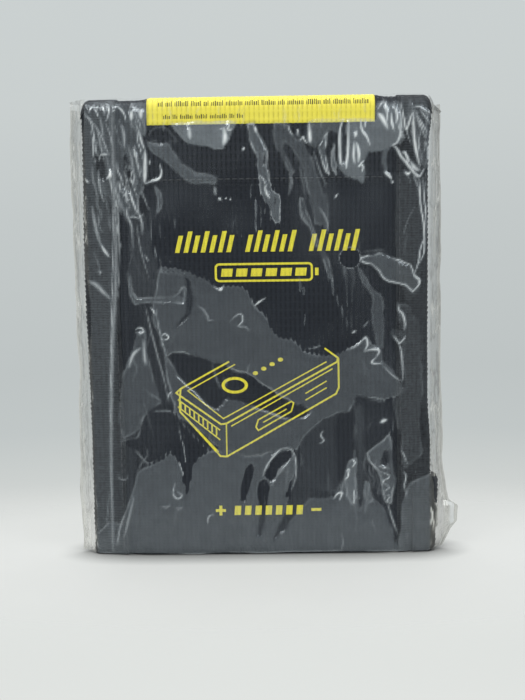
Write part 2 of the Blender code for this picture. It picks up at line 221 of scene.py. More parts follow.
def settle(points):
    """Small irregularities of real fabric: a sideways bow, rounded top corners and a soft waviness."""
    x, y, z = points[..., 0], points[..., 1], points[..., 2]
    share = np.clip(np.abs(x) / SIDE, 0, 1) ** 3
    bow = 1.15 * MM * smooth((z - 42 * MM) / (20 * MM)) * smooth((176 * MM - z) / (20 * MM)) * (x > 0)
    belly = (0.75 * MM + 0.9 * MM * bump(z - 113 * MM, 36 * MM)) * (x < 0)
    corner = 3.4 * MM
    over = np.clip(np.abs(x) - (SIDE - corner), 0, corner * 0.97)
    drop = corner - np.sqrt(corner**2 - over**2)
    near_top = smooth((z - (PANEL_TOP - 12 * MM)) / (9 * MM))
    crown = 0.7 * MM * smooth((48 * MM - np.abs(x - 2 * MM)) / (6 * MM))
    crown = crown * smooth((z - PANEL_TOP) / (2.5 * MM))
    inside = smooth((z - 8 * MM) / (20 * MM)) * smooth((172 * MM - z) / (15 * MM))
    wave = 0.45 * MM * noise_field(x, z, 30 * MM, 5, 2) * inside
    return np.stack([x - (bow + belly) * share, y + wave, z - drop * near_top + crown], -1)


def weave(x, s):
    """How far the ribbed fabric stands out of its plane: ribs with slots between, bridged at each row."""
    in_band = smooth((s - BAND_LOW) / (0.9 * MM)) * (s < S_FLAP)
    slot = (0.5 - 0.5 * np.cos(2 * math.pi * x / RIB_PITCH)) ** 1.2
    bridge = (0.5 + 0.5 * np.cos(2 * math.pi * (s - BAND_LOW) / ROW_PITCH)) ** 3
    lift = RIB_HEIGHT * (1 - slot * (1 - (0.35 + 0.45 * in_band) * bridge))
    lift = lift + 0.22 * MM * in_band + 0.20 * MM * bump(s - BAND_LOW - 0.5 * MM, 0.45 * MM)
    lift = lift - 0.14 * MM * bump(s - BAND_STITCH, 0.5 * MM)
    return lift


def front_face(x, z, lift=0.0):
    """A point on the front panel's fabric, `lift` out of it."""
    return settle(strip(x, z, weave(x, z) + lift))


# ---------------------------------------------------------------- pieces


def finish_piece(name, mesh, material):
    mesh.materials.append(material)
    piece = bpy.data.objects.new(name, mesh)
    bpy.context.scene.collection.objects.link(piece)
    return piece


def mesh_from(name, points, faces, cloth=None):
    mesh = bpy.data.meshes.new(name)
    mesh.from_pydata(points.reshape(-1, 3).tolist(), [], faces.tolist())
    mesh.shade_smooth()
    if cloth is not None:
        corner = np.zeros(len(mesh.loops), np.int32)
        mesh.loops.foreach_get("vertex_index", corner)
        layer = mesh.uv_layers.new(name="cloth")
        layer.data.foreach_set("uv", cloth.reshape(-1, 2)[corner].astype(np.float32).ravel())
    return mesh


def grid_faces(rows, columns, flip=False):
    index = np.arange(rows * columns).reshape(rows, columns)
    quads = np.stack([index[:-1, :-1], index[:-1, 1:], index[1:, 1:], index[1:, :-1]], -1)
    quads = quads.reshape(-1, 4)
    return quads[:, ::-1] if flip else quads


def grid_piece(name, points, cloth, material, flip=False):
    """One cloth laid through a grid of points. `cloth` is each point's place on the flat cloth."""
    faces = grid_faces(*points.shape[:2], flip)
    mesh = mesh_from(name, points, faces, np.stack(np.broadcast_arrays(*cloth), -1) / MM)
    return finish_piece(name, mesh, material)


def thicken(piece, thickness, offset=-1.0):
    solid = piece.modifiers.new("thickness", "SOLIDIFY")
    solid.thickness = thickness
    solid.offset = offset


def tubes_piece(name, paths, radius, sides, material, flat=1.0):
    """Many short tubes in one piece. Each path is an array of points along the tube, with tapered ends."""
    points, faces, start = [], [], 0
    angles = np.arange(sides) * 2 * math.pi / sides
    for path in paths:
        count = len(path)
        tangent = np.gradient(path, axis=0)
        tangent /= np.linalg.norm(tangent, axis=1, keepdims=True) + 1e-12
        guide = np.array([0.0, 1.0, 0.0])
        side = np.cross(tangent, guide)
        side /= np.linalg.norm(side, axis=1, keepdims=True) + 1e-12
        up = np.cross(side, tangent)
        taper = np.ones(count)
        taper[0] = taper[-1] = 0.45
        for i in range(count):
            ring = side[i] * np.cos(angles)[:, None] + flat * up[i] * np.sin(angles)[:, None]
            points.append(path[i] + ring * radius * taper[i])
        for i in range(count - 1):
            for j in range(sides):
                k = (j + 1) % sides
                a, b = start + i * sides, start + (i + 1) * sides
                faces.append((a + j, a + k, b + k, b + j))
        start += count * sides
    mesh = bpy.data.meshes.new(name)
    mesh.from_pydata(np.concatenate(points).tolist(), [], faces)
    mesh.shade_smooth()
    return finish_piece(name, mesh, material)


# ---------------------------------------------------------------- materials


class Material:
    """A node material under construction: each call adds a node and links what it is given."""

    def __init__(self, name, roughness, specular=0.5):
        self.material = bpy.data.materials.new(name)
        self.material.use_nodes = True
        self.tree = self.material.node_tree
        self.shader = self.tree.nodes["Principled BSDF"]
        self.shader.inputs["Roughness"].default_value = roughness
        self.shader.inputs["Specular IOR Level"].default_value = specular

    def node(self, kind, inputs=None, **settings):
        made = self.tree.nodes.new("ShaderNode" + kind)
        for key, value in settings.items():
            setattr(made, key, value)
        for key, value in (inputs or {}).items():
            self.give(made.inputs[key], value)
        return made

    def give(self, socket, value):
        if isinstance(value, bpy.types.NodeSocket):
            self.tree.links.new(value, socket)
        elif isinstance(value, bpy.types.Node):
            self.tree.links.new(value.outputs[0], socket)
        else:
            socket.default_value = value

    def math(self, operation, first, second=0.0, clamp=False):
        return self.node("Math", {0: first, 1: second}, operation=operation, use_clamp=clamp)

    def mix(self, share, first, second):
        made = self.node("Mix", data_type="RGBA")
        for socket, value in ((made.inputs[0], share), (made.inputs[6], first), (made.inputs[7], second)):
            if isinstance(value, tuple):
                value = (*value, 1.0)
            self.give(socket, value)
        return made.outputs[2]

    def steps(self, value, low, high, to_low=0.0, to_high=1.0):
        made = self.node("MapRange", {0: value, 1: low, 2: high, 3: to_low, 4: to_high})
        made.interpolation_type = "SMOOTHSTEP"
        return made.outputs[0]

    def noise(self, where, scale, detail=3.0, stretch=(1, 1, 1), roughness=0.5):
        if stretch != (1, 1, 1):
            where = self.node("VectorMath", {0: where, 1: stretch}, operation="MULTIPLY")
        inputs = {"Vector": where, "Scale": scale, "Detail": detail, "Roughness": roughness}
        return self.node("TexNoise", inputs).outputs["Fac"]

    def wave(self, value, pitch, shift=0.0):
        """0 to 1 and back once in each pitch of a length."""
        turns = self.math("MULTIPLY_ADD", value, 2 * math.pi / pitch)
        self.give(turns.inputs[2], shift)
        wave = self.math("MULTIPLY_ADD", self.math("COSINE", turns), 0.5)
        self.give(wave.inputs[2], 0.5)
        return wave.outputs[0]

    def cloth(self):
        """The place on the flat cloth, in millimetres: its vector, across and along."""
        where = self.node("UVMap", uv_map="cloth").outputs[0]
        parts = self.node("SeparateXYZ", {0: where})
        return where, parts.outputs[0], parts.outputs[1]

    def place(self):
        return self.node("TexCoord").outputs["Object"]

    def colour(self, value):
        self.give(self.shader.inputs["Base Color"], value if not isinstance(value, tuple) else (*value, 1))

    def attribute(self, name):
        return self.node("Attribute", attribute_name=name).outputs["Fac"]

    def roughness(self, value):
        self.give(self.shader.inputs["Roughness"], value)

    def bump(self, height, strength, distance):
        made = self.node("Bump", {"Height": height, "Strength": strength, "Distance": distance})
        self.give(self.shader.inputs["Normal"], made)


def slots(made, across, along, row_share):
    """Painted shade in the slots between ribs: 1 in the middle of each slot between two ribs, 0 on the ribs
    and on the bridges between rows.
    """
    gap = made.math("SUBTRACT", 1.0, made.wave(across, RIB_PITCH / MM))
    gap = made.math("POWER", gap, 1.6)
    shift = -2 * math.pi * BAND_LOW / ROW_PITCH
    bridge = made.math("POWER", made.wave(along, ROW_PITCH / MM, shift), 3.0)
    return made.math("MULTIPLY", gap, made.math("SUBTRACT", 1.0, made.math("MULTIPLY", bridge, row_share)))


def ribbed_fabric():
    made = Material("ribbed_fabric", 0.78, 0.22)
    where, across, along = made.cloth()
    slot_shade = slots(made, across, along, 0.7)
    picks = made.wave(along, 0.62)
    yarns = made.wave(across, RIB_PITCH / MM / 4, 1.0)
    fibres = made.noise(where, 3.2, 5.0, (1.0, 0.35, 1.0), 0.65)
    patches = made.noise(where, 0.045, 3.0)
    worn = made.noise(where, 0.55, 2.0)
    colour = made.mix(made.steps(fibres, 0.4, 0.85, 0.0, 0.5), (0.023, 0.028, 0.037), (0.037, 0.044, 0.055))
    colour = made.mix(made.steps(patches, 0.3, 0.75, 0.0, 0.4), colour, (0.012, 0.015, 0.021))
    colour = made.mix(made.steps(worn, 0.45, 0.8, 0.0, 0.35), colour, (0.038, 0.043, 0.050))
    lint = made.noise(where, 0.9, 2.0)
    colour = made.mix(made.steps(lint, 0.78, 0.83, 0.0, 0.4), colour, (0.09, 0.095, 0.10))
    # Painted shade in the slots between the ribs, stronger from the band's lower seam up
    strength = made.steps(along, BAND_LOW / MM - 0.5, BAND_LOW / MM + 0.5, 0.34, 0.66)
    colour = made.mix(made.math("MULTIPLY", slot_shade, strength), colour, (0.0015, 0.0019, 0.0032))
    made.colour(colour)
    made.roughness(made.steps(fibres, 0.2, 0.8, 0.66, 0.9))
    height = made.math("ADD", made.math("MULTIPLY", picks, 0.5), made.math("MULTIPLY", yarns, 0.25))
    height = made.math("ADD", height, made.math("MULTIPLY", fibres, 0.6))
    made.bump(height, 0.75, 0.00022)
    made.shader.inputs["Sheen Weight"].default_value = 0.08
    made.shader.inputs["Sheen Roughness"].default_value = 0.45
    return made.material


def binding_tape():
    made = Material("binding_tape", 0.8, 0.22)
    where, across, along = made.cloth()
    ribs = made.wave(along, TAPE_RIB / MM)
    warp = made.wave(across, 0.34)
    knots = made.wave(across, TAPE_KNOT / MM, 0.6)
    fibres = made.noise(where, 4.0, 4.0, (1.0, 0.6, 1.0), 0.6)
    blotches = made.noise(where, 0.55, 3.0)
    # Painted shade in the grooves between the tape's cross ribs, stronger at the knots
    depth = made.math("ADD", made.math("MULTIPLY", knots, 0.9), 0.1)
    cell_shade = made.math("MULTIPLY", made.math("SUBTRACT", 1.0, ribs), depth)
    cell_shade = made.math("MULTIPLY", cell_shade, made.steps(made.noise(where, 0.5, 3.0), 0.35, 0.65, 0.2, 1.0))
    fibre_share = made.steps(fibres, 0.4, 0.85, 0.0, 0.55)
    colour = made.mix(fibre_share, (0.038, 0.043, 0.050), (0.062, 0.068, 0.076))
    colour = made.mix(made.steps(blotches, 0.4, 0.75, 0.0, 0.55), colour, (0.014, 0.016, 0.019))
    colour = made.mix(made.math("MULTIPLY", cell_shade, 0.92), colour, (0.0025, 0.003, 0.004))
    made.colour(colour)
    made.roughness(made.steps(fibres, 0.2, 0.8, 0.7, 0.92))
    height = made.math("ADD", made.math("MULTIPLY", warp, 0.7), made.math("MULTIPLY", fibres, 0.6))
    made.bump(height, 0.7, 0.0002)
    made.shader.inputs["Sheen Weight"].default_value = 0.12
    made.shader.inputs["Sheen Roughness"].default_value = 0.4
    return made.material


def label_print():
    made = Material("label_print", 0.5, 0.35)
    where, across, along = made.cloth()
    slot_shade = slots(made, across, along, 0.3)
    patches = made.noise(where, 0.07, 3.0)
    grain = made.noise(where, 5.0, 3.0)
    slot_shade = made.math("POWER", slot_shade, 2.2)
    # Painted shade in the rib slots under the label
    colour = made.mix(made.math("MULTIPLY", slot_shade, 0.42), (1.0, 0.885, 0.105), (0.34, 0.27, 0.015))
    colour = made.mix(made.steps(patches, 0.3, 0.7, 0.0, 0.4), colour, (0.96, 0.84, 0.07))
    colour = made.mix(made.steps(grain, 0.6, 0.9, 0.0, 0.25), colour, (0.70, 0.58, 0.04))
    made.colour(colour)
    made.roughness(made.steps(grain, 0.2, 0.8, 0.42, 0.6))
    made.bump(grain, 0.3, 0.0001)
    return made.material


def printing_ink():
    made = Material("printing_ink", 0.55, 0.4)
    where, across, along = made.cloth()
    slot_shade = slots(made, across, along, 0.5)
    grain = made.noise(where, 2.6, 3.0)
    patches = made.noise(where, 0.16, 3.0)
    colour = made.mix(made.steps(grain, 0.35, 0.75), (0.93, 0.83, 0.065), (0.74, 0.66, 0.045))
    # Painted shade in the rib slots under the ink
    colour = made.mix(made.math("MULTIPLY", slot_shade, 0.3), colour, (0.42, 0.37, 0.03))
    colour = made.mix(made.steps(patches, 0.62, 0.8, 0.0, 0.35), colour, (0.46, 0.41, 0.04))
    made.colour(colour)
    made.roughness(made.steps(grain, 0.2, 0.8, 0.45, 0.7))
    made.bump(grain, 0.4, 0.00008)
    return made.material


def dark_ink():
    made = Material("dark_ink", 0.6, 0.3)
    grain = made.noise(made.place(), 2400.0, 3.0)
    made.colour(made.mix(made.steps(grain, 0.4, 0.8), (0.045, 0.04, 0.015), (0.16, 0.14, 0.03)))
    made.roughness(made.steps(grain, 0.2, 0.8, 0.5, 0.75))
    return made.material


def sewing_thread():
    made = Material("sewing_thread", 0.5, 0.4)
    where = made.place()
    twist = made.noise(where, 3200.0, 2.0, (1.0, 1.0, 0.4))
    made.colour(made.mix(made.steps(twist, 0.3, 0.7), (0.018, 0.020, 0.024), (0.075, 0.080, 0.088)))
    made.roughness(made.steps(twist, 0.2, 0.8, 0.4, 0.65))
    made.bump(twist, 0.6, 0.00012)
    return made.material


def glass_cloth():
    made = Material("glass_cloth", 0.5, 0.45)
    where, across, along = made.cloth()
    warp = made.wave(across, 0.8)
    weft = made.wave(along, 0.8)
    square = made.math("MULTIPLY", warp, weft)
    fibres = made.noise(where, 2.5, 4.0)
    creases = made.noise(where, 0.06, 4.0, (1.0, 0.6, 1.0), 0.6)
    colour = made.mix(square, (0.055, 0.057, 0.062), (0.16, 0.165, 0.172))
    colour = made.mix(made.steps(creases, 0.35, 0.75, 0.0, 0.5), colour, (0.10, 0.105, 0.115))
    made.colour(colour)
    made.roughness(made.steps(fibres, 0.2, 0.8, 0.4, 0.62))
    height = made.math("ADD", square, made.math("MULTIPLY", fibres, 0.5))
    made.bump(height, 0.7, 0.0002)
    return made.material


def felt():
    made = Material("felt", 0.95, 0.2)
    where = made.place()
    fibres = made.noise(where, 900.0, 6.0, (1.0, 1.0, 0.4), 0.7)
    tufts = made.noise(where, 120.0, 4.0)
    colour = made.mix(made.steps(fibres, 0.3, 0.7), (0.42, 0.40, 0.35), (0.70, 0.68, 0.62))
    made.colour(made.mix(made.steps(tufts, 0.4, 0.8, 0.0, 0.4), colour, (0.50, 0.47, 0.41)))
    made.roughness(made.steps(fibres, 0.2, 0.8, 0.88, 1.0))
    made.bump(fibres, 0.9, 0.0005)
    return made.material


def pile(name, dark, light):
    made = Material(name, 0.7, 0.3)
    fibres = made.noise(made.place(), 1500.0, 4.0, roughness=0.65)
    made.colour(made.mix(made.steps(fibres, 0.3, 0.75), dark, light))
    made.roughness(made.steps(fibres, 0.2, 0.8, 0.5, 0.85))
    made.bump(fibres, 0.8, 0.0003)
    made.shader.inputs["Sheen Weight"].default_value = 0.2
    return made.material


def clear_film():
    """Thin clear film: a pale veil where it hangs free, partly its real reflection and partly painted
    reflection, with painted highlight lines and painted shade lines along its folds.
    """
    made = Material("clear_film", 0.12, 0.5)
    where = made.place()
    reflection_veil = made.attribute("reflection_veil")
    painted_highlight = made.attribute("painted_highlight")
    dark = made.attribute("dark")
    broken = made.noise(where, 240.0, 3.0)
    fine = made.noise(where, 800.0, 2.0, (1.0, 1.0, 0.35))
    # The veil: its metallic share is a real reflection, the rest a painted pale reflection; stronger where
    # the film hangs free
    veil = made.math("MULTIPLY_ADD", reflection_veil, 0.085)
    made.give(veil.inputs[2], 0.010)
    veil = made.math("MULTIPLY", veil, made.steps(broken, 0.25, 0.75, 0.88, 1.12))
    edge = made.node("LayerWeight", {"Blend": 0.25}).outputs["Facing"]
    veil = made.math("ADD", veil, made.math("MULTIPLY", made.math("POWER", edge, 4.0), 0.3))
    # Painted highlights along the folds and edges, in a pale colour
    lines = made.math("MULTIPLY", painted_highlight, made.steps(fine, 0.25, 0.6, 0.75, 1.0))
    # Painted shade along the folds, in a near-black colour
    shade = made.math("MULTIPLY", dark, 0.55)
    alpha = made.math("ADD", made.math("ADD", veil, lines), shade, clamp=True)
    made.give(made.shader.inputs["Alpha"], alpha)
    margin = made.attribute("margin")
    # Colour of the painted reflection and highlights, warmer in the flat margins
    pale = made.mix(margin, (0.77, 0.86, 0.92), (0.88, 0.87, 0.79))
    pale = made.mix(lines, pale, (0.93, 0.95, 0.94))
    share = made.math("DIVIDE", shade, made.math("ADD", made.math("ADD", veil, lines), shade))
    made.colour(made.mix(share, pale, (0.03, 0.033, 0.034)))
    made.give(made.shader.inputs["Metallic"], made.math("MULTIPLY", made.math("SUBTRACT", 1.0, lines), 0.45))
    made.roughness(made.steps(fine, 0.2, 0.8, 0.08, 0.18))
    made.bump(made.math("ADD", fine, made.math("MULTIPLY", broken, 2.0)), 0.3, 0.00015)
    return made.material


def studio_floor():
    made = Material("studio_floor", 0.6, 0.3)
    where = made.place()
    grain = made.noise(where, 30.0, 4.0)
    made.colour(made.mix(grain, (0.25, 0.255, 0.25), (0.28, 0.285, 0.28)))
    # The floor's emission is dimmed by ambient occlusion near the pouch: a painted contact shadow
    contact = made.node("AmbientOcclusion", {"Distance": 0.013}).outputs["AO"]
    contact = made.math("POWER", contact, 2.4)
    made.give(made.shader.inputs["Emission Color"], (0.98, 1.0, 0.975, 1))
    made.give(made.shader.inputs["Emission Strength"], made.math("MULTIPLY", contact, 0.47))
    around = made.node("VectorMath", {0: where, 1: (0.6, 1.2, 1.0)}, operation="MULTIPLY")
    reach = made.node("VectorMath", {0: around}, operation="LENGTH").outputs["Value"]
    made.give(made.shader.inputs["Alpha"], made.steps(reach, 0.17, 0.045))
    return made.material


FABRIC = ribbed_fabric()
TAPE = binding_tape()
LABEL = label_print()
INK = printing_ink()
DARK_INK = dark_ink()
THREAD = sewing_thread()
LINER = glass_cloth()
FELT = felt()
LOOPS = pile("loop_pile", (0.006, 0.006, 0.008), (0.035, 0.036, 0.040))
HOOKS = pile("hook_pile", (0.010, 0.010, 0.012), (0.055, 0.056, 0.060))
FILM = clear_film()


# ---------------------------------------------------------------- fabric


def rib_columns(reach):
    """Places across the cloth: six to a rib where it shows, and wide ones under the tapes."""
    step = RIB_PITCH / 6
    count = int((TAPE_IN + 1.2 * MM) / step)
    shown = np.arange(-count, count + 1) * step
    outer = np.linspace(shown[-1], reach, 5)[1:]
    return np.concatenate([-outer[::-1], shown, outer])


def spaced(start, end, step):
    return np.linspace(start, end, max(2, int(round(abs(end - start) / step)) + 1))


def make_shell():
    x = rib_columns(EDGE)[None, :]
    u = np.concatenate([np.linspace(4, 3, 3), np.linspace(3, 2, 5)[1:], np.linspace(2, 1, 4)[1:]])
    u = np.concatenate([u, np.linspace(1, 0, 6)[1:-1]])[:, None]
    ribs = weave(x, 0 * x)
    under = base(x, u, ribs, BASE_RADIUS, 0.05 * MM)
    s = spaced(BASE_RADIUS, BAND_LOW - 0.6 * MM, 1.3 * MM)
    s = np.concatenate([s, spaced(BAND_LOW - 0.6 * MM, S_FOLD, 0.5 * MM)[1:]])
    s = np.concatenate([s, spaced(S_FOLD, S_MIDDLE, 0.7 * MM)[1:]])[:, None]
    over = strip(x, s, weave(x, s))
    points = settle(np.concatenate([under, over]))
    along = np.concatenate([-u * 3 * MM, s]) + 0 * x
    front = grid_piece("shell_front", points, (x + 0 * along, along), FABRIC)
    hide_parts("outer_shell", "cover_outer")
    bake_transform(front)

    z = spaced(BASE_TOP, MOUTH, 1.4 * MM)[:, None]
    y = half_depth(x, z) + ribs
    points = settle(np.stack(np.broadcast_arrays(x, y, z), -1))
    back = grid_piece("shell_back", points, (x + 0 * z, z + 0 * x), FABRIC, flip=True)
    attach(back, "pouch")

    s = spaced(S_MIDDLE, S_FLAP, 0.7 * MM)
    s = np.concatenate([s, spaced(S_FLAP, S_END - 1.2 * MM, 1.3 * MM)[1:]])[:, None]
    points = settle(strip(x, s, weave(x, s)))
    flap = grid_piece("flap_fabric", points, (x + 0 * s, s + 0 * x), FABRIC)
    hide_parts("flap_outer")
    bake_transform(flap)


def lining_lift(s):
    """The lining lies deeper in the pouch than it does in the cover and the flap."""
    return -2.45 * MM + 1.0 * MM * smooth((s - S_FOLD + 2 * MM) / (6 * MM))


def make_lining():
    x = np.linspace(-EDGE + 0.6 * MM, EDGE - 0.6 * MM, 91)[None, :]
    u = np.array([3.0, 2.5, 2.0, 1.5, 1.0, 0.5])[:, None]
    under = base(x, u, -2.45 * MM, 0.5 * MM, 2.45 * MM)
    s = spaced(3.2 * MM, S_FOLD, 2.2 * MM)
    s = np.concatenate([s, spaced(S_FOLD, S_MIDDLE, 0.8 * MM)[1:]])[:, None]
    over = strip(x, s, lining_lift(s) - 0.25 * MM * noise_field(x, s, 12 * MM, 31, 2))
    points = settle(np.concatenate([under, over]))
    along = np.concatenate([-u * 3 * MM, s]) + 0 * x
    front = grid_piece("liner_front", points, (x + 0 * along, along), LINER, flip=True)
    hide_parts("inner_liner", "cover_lining")
    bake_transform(front)

    z = spaced(3.2 * MM, MOUTH, 2.2 * MM)[:, None]
    y = half_depth(x, z) - 2.45 * MM - 0.25 * MM * noise_field(x, z, 12 * MM, 37, 2)
    points = settle(np.stack(np.broadcast_arrays(x, y, z), -1))
    back = grid_piece("liner_back", points, (x + 0 * z, z + 0 * x), LINER)
    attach(back, "pouch")

    s = spaced(S_MIDDLE, S_FLAP, 0.8 * MM)
    s = np.concatenate([s, spaced(S_FLAP, S_END - 1.2 * MM, 1.6 * MM)[1:]])[:, None]
    points = settle(strip(x, s, -1.45 * MM - 0.12 * MM * noise_field(x, s, 9 * MM, 41, 2)))
    flap = grid_piece("flap_liner", points, (x + 0 * s, s + 0 * x), LINER, flip=True)
    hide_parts("flap_lining")
    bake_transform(flap)

    x = np.linspace(-EDGE + 0.5 * MM, EDGE - 0.5 * MM, 61)[None, :]
    s = spaced(3 * MM, S_FOLD - 1.5 * MM, 2.4 * MM)[:, None]
    lumps = 0.16 * MM * noise_field(x, s, 5 * MM, 43, 2)
    front_side = strip(x, s, -1.5 * MM + lumps)
    u = np.array([0.5, 1.0, 1.5, 2.0, 2.5])[:, None]
    under = base(x, u, -1.5 * MM, 0.6 * MM, 1.5 * MM)
    z = spaced(3 * MM, MOUTH - 0.6 * MM, 2.4 * MM)[:, None]
    y = half_depth(x, z) - 1.5 * MM + 0.16 * MM * noise_field(x, z, 5 * MM, 47, 2)
    back_side = np.stack(np.broadcast_arrays(x, y, z), -1)
    points = settle(np.concatenate([front_side[::-1], under, back_side]))
    along = np.arange(len(points))[:, None] * 2.4 * MM + 0 * x
    batting = grid_piece("insulation_felt", points, (x + 0 * along, along), FELT)
    thicken(batting, 0.6 * MM)
    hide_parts("insulation_layer")
    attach(batting, "pouch")

    x = np.linspace(-PINCH_START, PINCH_START, 200)[None, :]
    z = spaced(BAND_LOW, S_FOLD - 0.5 * MM, 0.7 * MM)[:, None]
    ribs = 0.12 * MM * (0.5 + 0.5 * np.cos(2 * math.pi * x / TAPE_RIB))
    points = settle(strip(x, z, -2.9 * MM - ribs))
    facing = grid_piece("facing_band", points, (z + 0 * x, x + 0 * z), TAPE, flip=True)
    thicken(facing, 0.4 * MM, 1.0)
    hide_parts("closure_facing")
    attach(facing, "pouch")


# ---------------------------------------------------------------- tapes


def tape_relief(length, edge_share, out=0.0):
    """The tape's cross ribs, and the coarser teeth they make round its folded edge."""
    rib = (0.5 + 0.5 * np.cos(2 * math.pi * length / TAPE_RIB)) ** 0.8
    tooth = (0.5 + 0.5 * np.cos(math.pi * length / TAPE_RIB + 0.7)) ** 0.7
    knot = 0.45 + 0.55 * (0.5 + 0.5 * np.cos(2 * math.pi * out / TAPE_KNOT + 0.6))
    uneven = 1 + 0.35 * noise_field(length, 0 * length + 0.3, 3 * MM, 57, 2)
    return rib * 0.16 * MM * (1 - (1 - knot) * (1 - edge_share)) + tooth * 0.30 * MM * edge_share * uneven


def round_edge(near, far, low, high, leaf_steps, turn_steps):
    """A tape's section, as (out, rise, share of the folded edge), from one cut edge round to the other."""
    middle, half = (low + high) / 2, (high - low) / 2
    turn = min(TAPE_TURN, abs(high - low) * 0.9)
    out = [near, near]
    rise = [high - TAPE_RISE, high]
    for t in np.linspace(0, 1, leaf_steps)[1:]:
        out.append(near + 0.15 * MM + (far - turn - near - 0.15 * MM) * t)
        rise.append(high)
    for angle in np.linspace(math.pi / 2, -math.pi / 2, turn_steps)[1:]:
        out.append(far - turn + turn * math.cos(angle) ** 0.8 if abs(math.cos(angle)) > 1e-6 else far - turn)
        rise.append(middle + half * math.sin(angle))
    for t in np.linspace(0, 1, leaf_steps)[1:]:
        out.append(far - turn + (near - far + turn) * t)
        rise.append(low)
    out.append(near)
    rise.append(low + TAPE_RISE)
    out, rise = np.array(out), np.array(rise)
    share = smooth((out - (far - turn * 0.55)) / (turn * 0.55))
    return out, rise, share


def across_tape(out):
    """Each section point's place across the flat tape, from how far out it lies."""
    return np.cumsum(np.hypot(np.diff(out, prepend=out[0]), 0.3 * MM))[None, :]


def make_side_tape(side):
    """Tape round one side seam, from the bottom to the top fold. side is -1 left, +1 right."""
    name = "left" if side < 0 else "right"
    z = spaced(0.3 * MM, S_FOLD, TAPE_STEP)[:, None]
    out, rise, share = round_edge(TAPE_IN, SIDE, -1.0, 1.0, 9, 11)
    inner = (np.abs(rise) < ON_LEAF) & (out < TAPE_IN + 0.01 * MM)
    out = out[None, :] + 0 * z
    depth = half_depth(out, z)
    seam = half_depth(np.minimum(out, SIDE - TAPE_TURN), z)
    stand_off = np.where(inner, 0.0, TAPE_RISE)
    sign = np.where(np.abs(rise) > ON_LEAF, np.sign(rise), rise)
    y = -sign * np.where(np.abs(rise) > ON_LEAF, depth, seam) - np.sign(rise) * stand_off
    y = np.where(inner, -np.sign(rise) * depth, y)
    relief = tape_relief(z, share[None, :], out)
    y = y - np.sign(rise) * relief * (1 - share[None, :]) * (1 - inner)
    x = side * (out - TAPE_TUCK * share + relief * share)
    x = x + side * 0.25 * MM * noise_field(z, 0 * z, 9 * MM, 53 + side, 2) * (1 - share[None, :])
    points = settle(np.stack(np.broadcast_arrays(x, y, z), -1))
    across = across_tape(out[0])
    cloth = (across + 0 * z, z + 0 * across)
    piece = grid_piece(f"side_tape_{name}", points, cloth, TAPE, flip=side > 0)
    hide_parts(f"side_binding_{name}")
    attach(piece, "pouch")


def make_tail():
    """The right tape's lapped end at the bottom corner, which stands proud."""
    z = spaced(0.3 * MM, tail_high.z, TAPE_STEP)[:, None]
    out, rise, share = round_edge(tail_low.x, tail_high.x, -1.0, 1.0, 9, 11)
    inner = (np.abs(rise) < ON_LEAF) & (out < tail_low.x + 0.01 * MM)
    out = out[None, :] + 0 * z
    flat_out = np.minimum(out, SIDE - TAPE_TURN)
    stand_off = np.where(inner, TAPE_RISE, 2 * TAPE_RISE + 0.2 * MM)
    depth = half_depth(flat_out, z) + stand_off
    y = -np.clip(rise, -1, 1) * depth
    y = np.where(inner, -np.sign(rise) * depth, y)
    relief = tape_relief(z, share[None, :], out)
    corner = 3.0 * MM
    near_top = np.clip((z - tail_high.z + corner) / corner, 0, 1)
    near_low = np.clip((corner - z) / corner, 0, 1)
    cut = corner * (2 - np.sqrt(1 - near_top**2) - np.sqrt(1 - near_low**2)) * 0.9
    notch = 0.8 * MM * smooth((9.8 * MM - z) / (0.8 * MM))
    shrink = (cut + notch) * smooth((out - SIDE + 4 * MM) / (4 * MM))
    y = y - np.sign(rise) * relief * (1 - share[None, :]) * (1 - inner)
    x = out - shrink - TAPE_TUCK * share + relief * share
    points = settle(np.stack(np.broadcast_arrays(x, y, z), -1))
    across = across_tape(out[0])
    piece = grid_piece("tail_tape", points, (across + 0 * z, z + 0 * across), TAPE, flip=True)
    thicken(piece, 0.5 * MM, 1.0)
    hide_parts("binding_tail_right")
    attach(piece, "pouch")


def strip_edge(side, s, name, flip):
    """Tape round the strip's own edge, over the cover or down the flap."""
    out, rise, share = round_edge(TAPE_IN, SIDE, TAPE_INNER, TAPE_RISE, 9, 9)
    s = s[:, None]
    relief = tape_relief(s, share[None, :], out[None, :])
    cut = (out < TAPE_IN + 0.01 * MM) & (np.arange(len(out)) % (len(out) - 1) == 0)
    way = np.where(rise > (TAPE_INNER + TAPE_RISE) / 2, 1.0, -1.0)
    lift = rise[None, :] + way * relief * (1 - share[None, :]) * (1 - cut)
    x = side * (out[None, :] - TAPE_TUCK * share + relief * share)
    points = settle(strip(x, s, lift))
    across = across_tape(out)
    return grid_piece(name, points, (across + 0 * s, s + 0 * across), TAPE, flip=flip)


def make_strip_tapes():
    for side, name in ((-1, "left"), (1, "right")):
        flip = side > 0
        piece = strip_edge(side, spaced(S_FOLD, S_MIDDLE, TAPE_STEP), f"cover_tape_{name}", flip)
        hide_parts(f"cover_binding_{name}")
        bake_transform(piece)
        s = spaced(S_MIDDLE, S_END - TAPE_WIDTH + 1 * MM, TAPE_STEP)
        piece = strip_edge(side, s, f"flap_tape_{name}", flip)
        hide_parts(f"flap_binding_{name}")
        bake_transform(piece)


def edge_channel(name, x, place, far, low, high):
    """Tape folded round a straight edge that runs across the pouch."""
    out, rise, share = round_edge(far - TAPE_WIDTH, far, low, high, 9, 9)
    x = x[:, None]
    relief = tape_relief(x, share[None, :], out[None, :])
    ends = np.arange(len(out)) % (len(out) - 1) == 0
    way = np.where(rise > (low + high) / 2, 1.0, -1.0)
    rise = rise[None, :] + way * relief * (1 - share[None, :]) * (1 - ends)
    out = out[None, :] - TAPE_TUCK * share + relief * share
    across = across_tape(out[0])
    points = settle(place(x, out, rise))
    return grid_piece(name, points, (across + 0 * x, x + 0 * across), TAPE, flip=False)


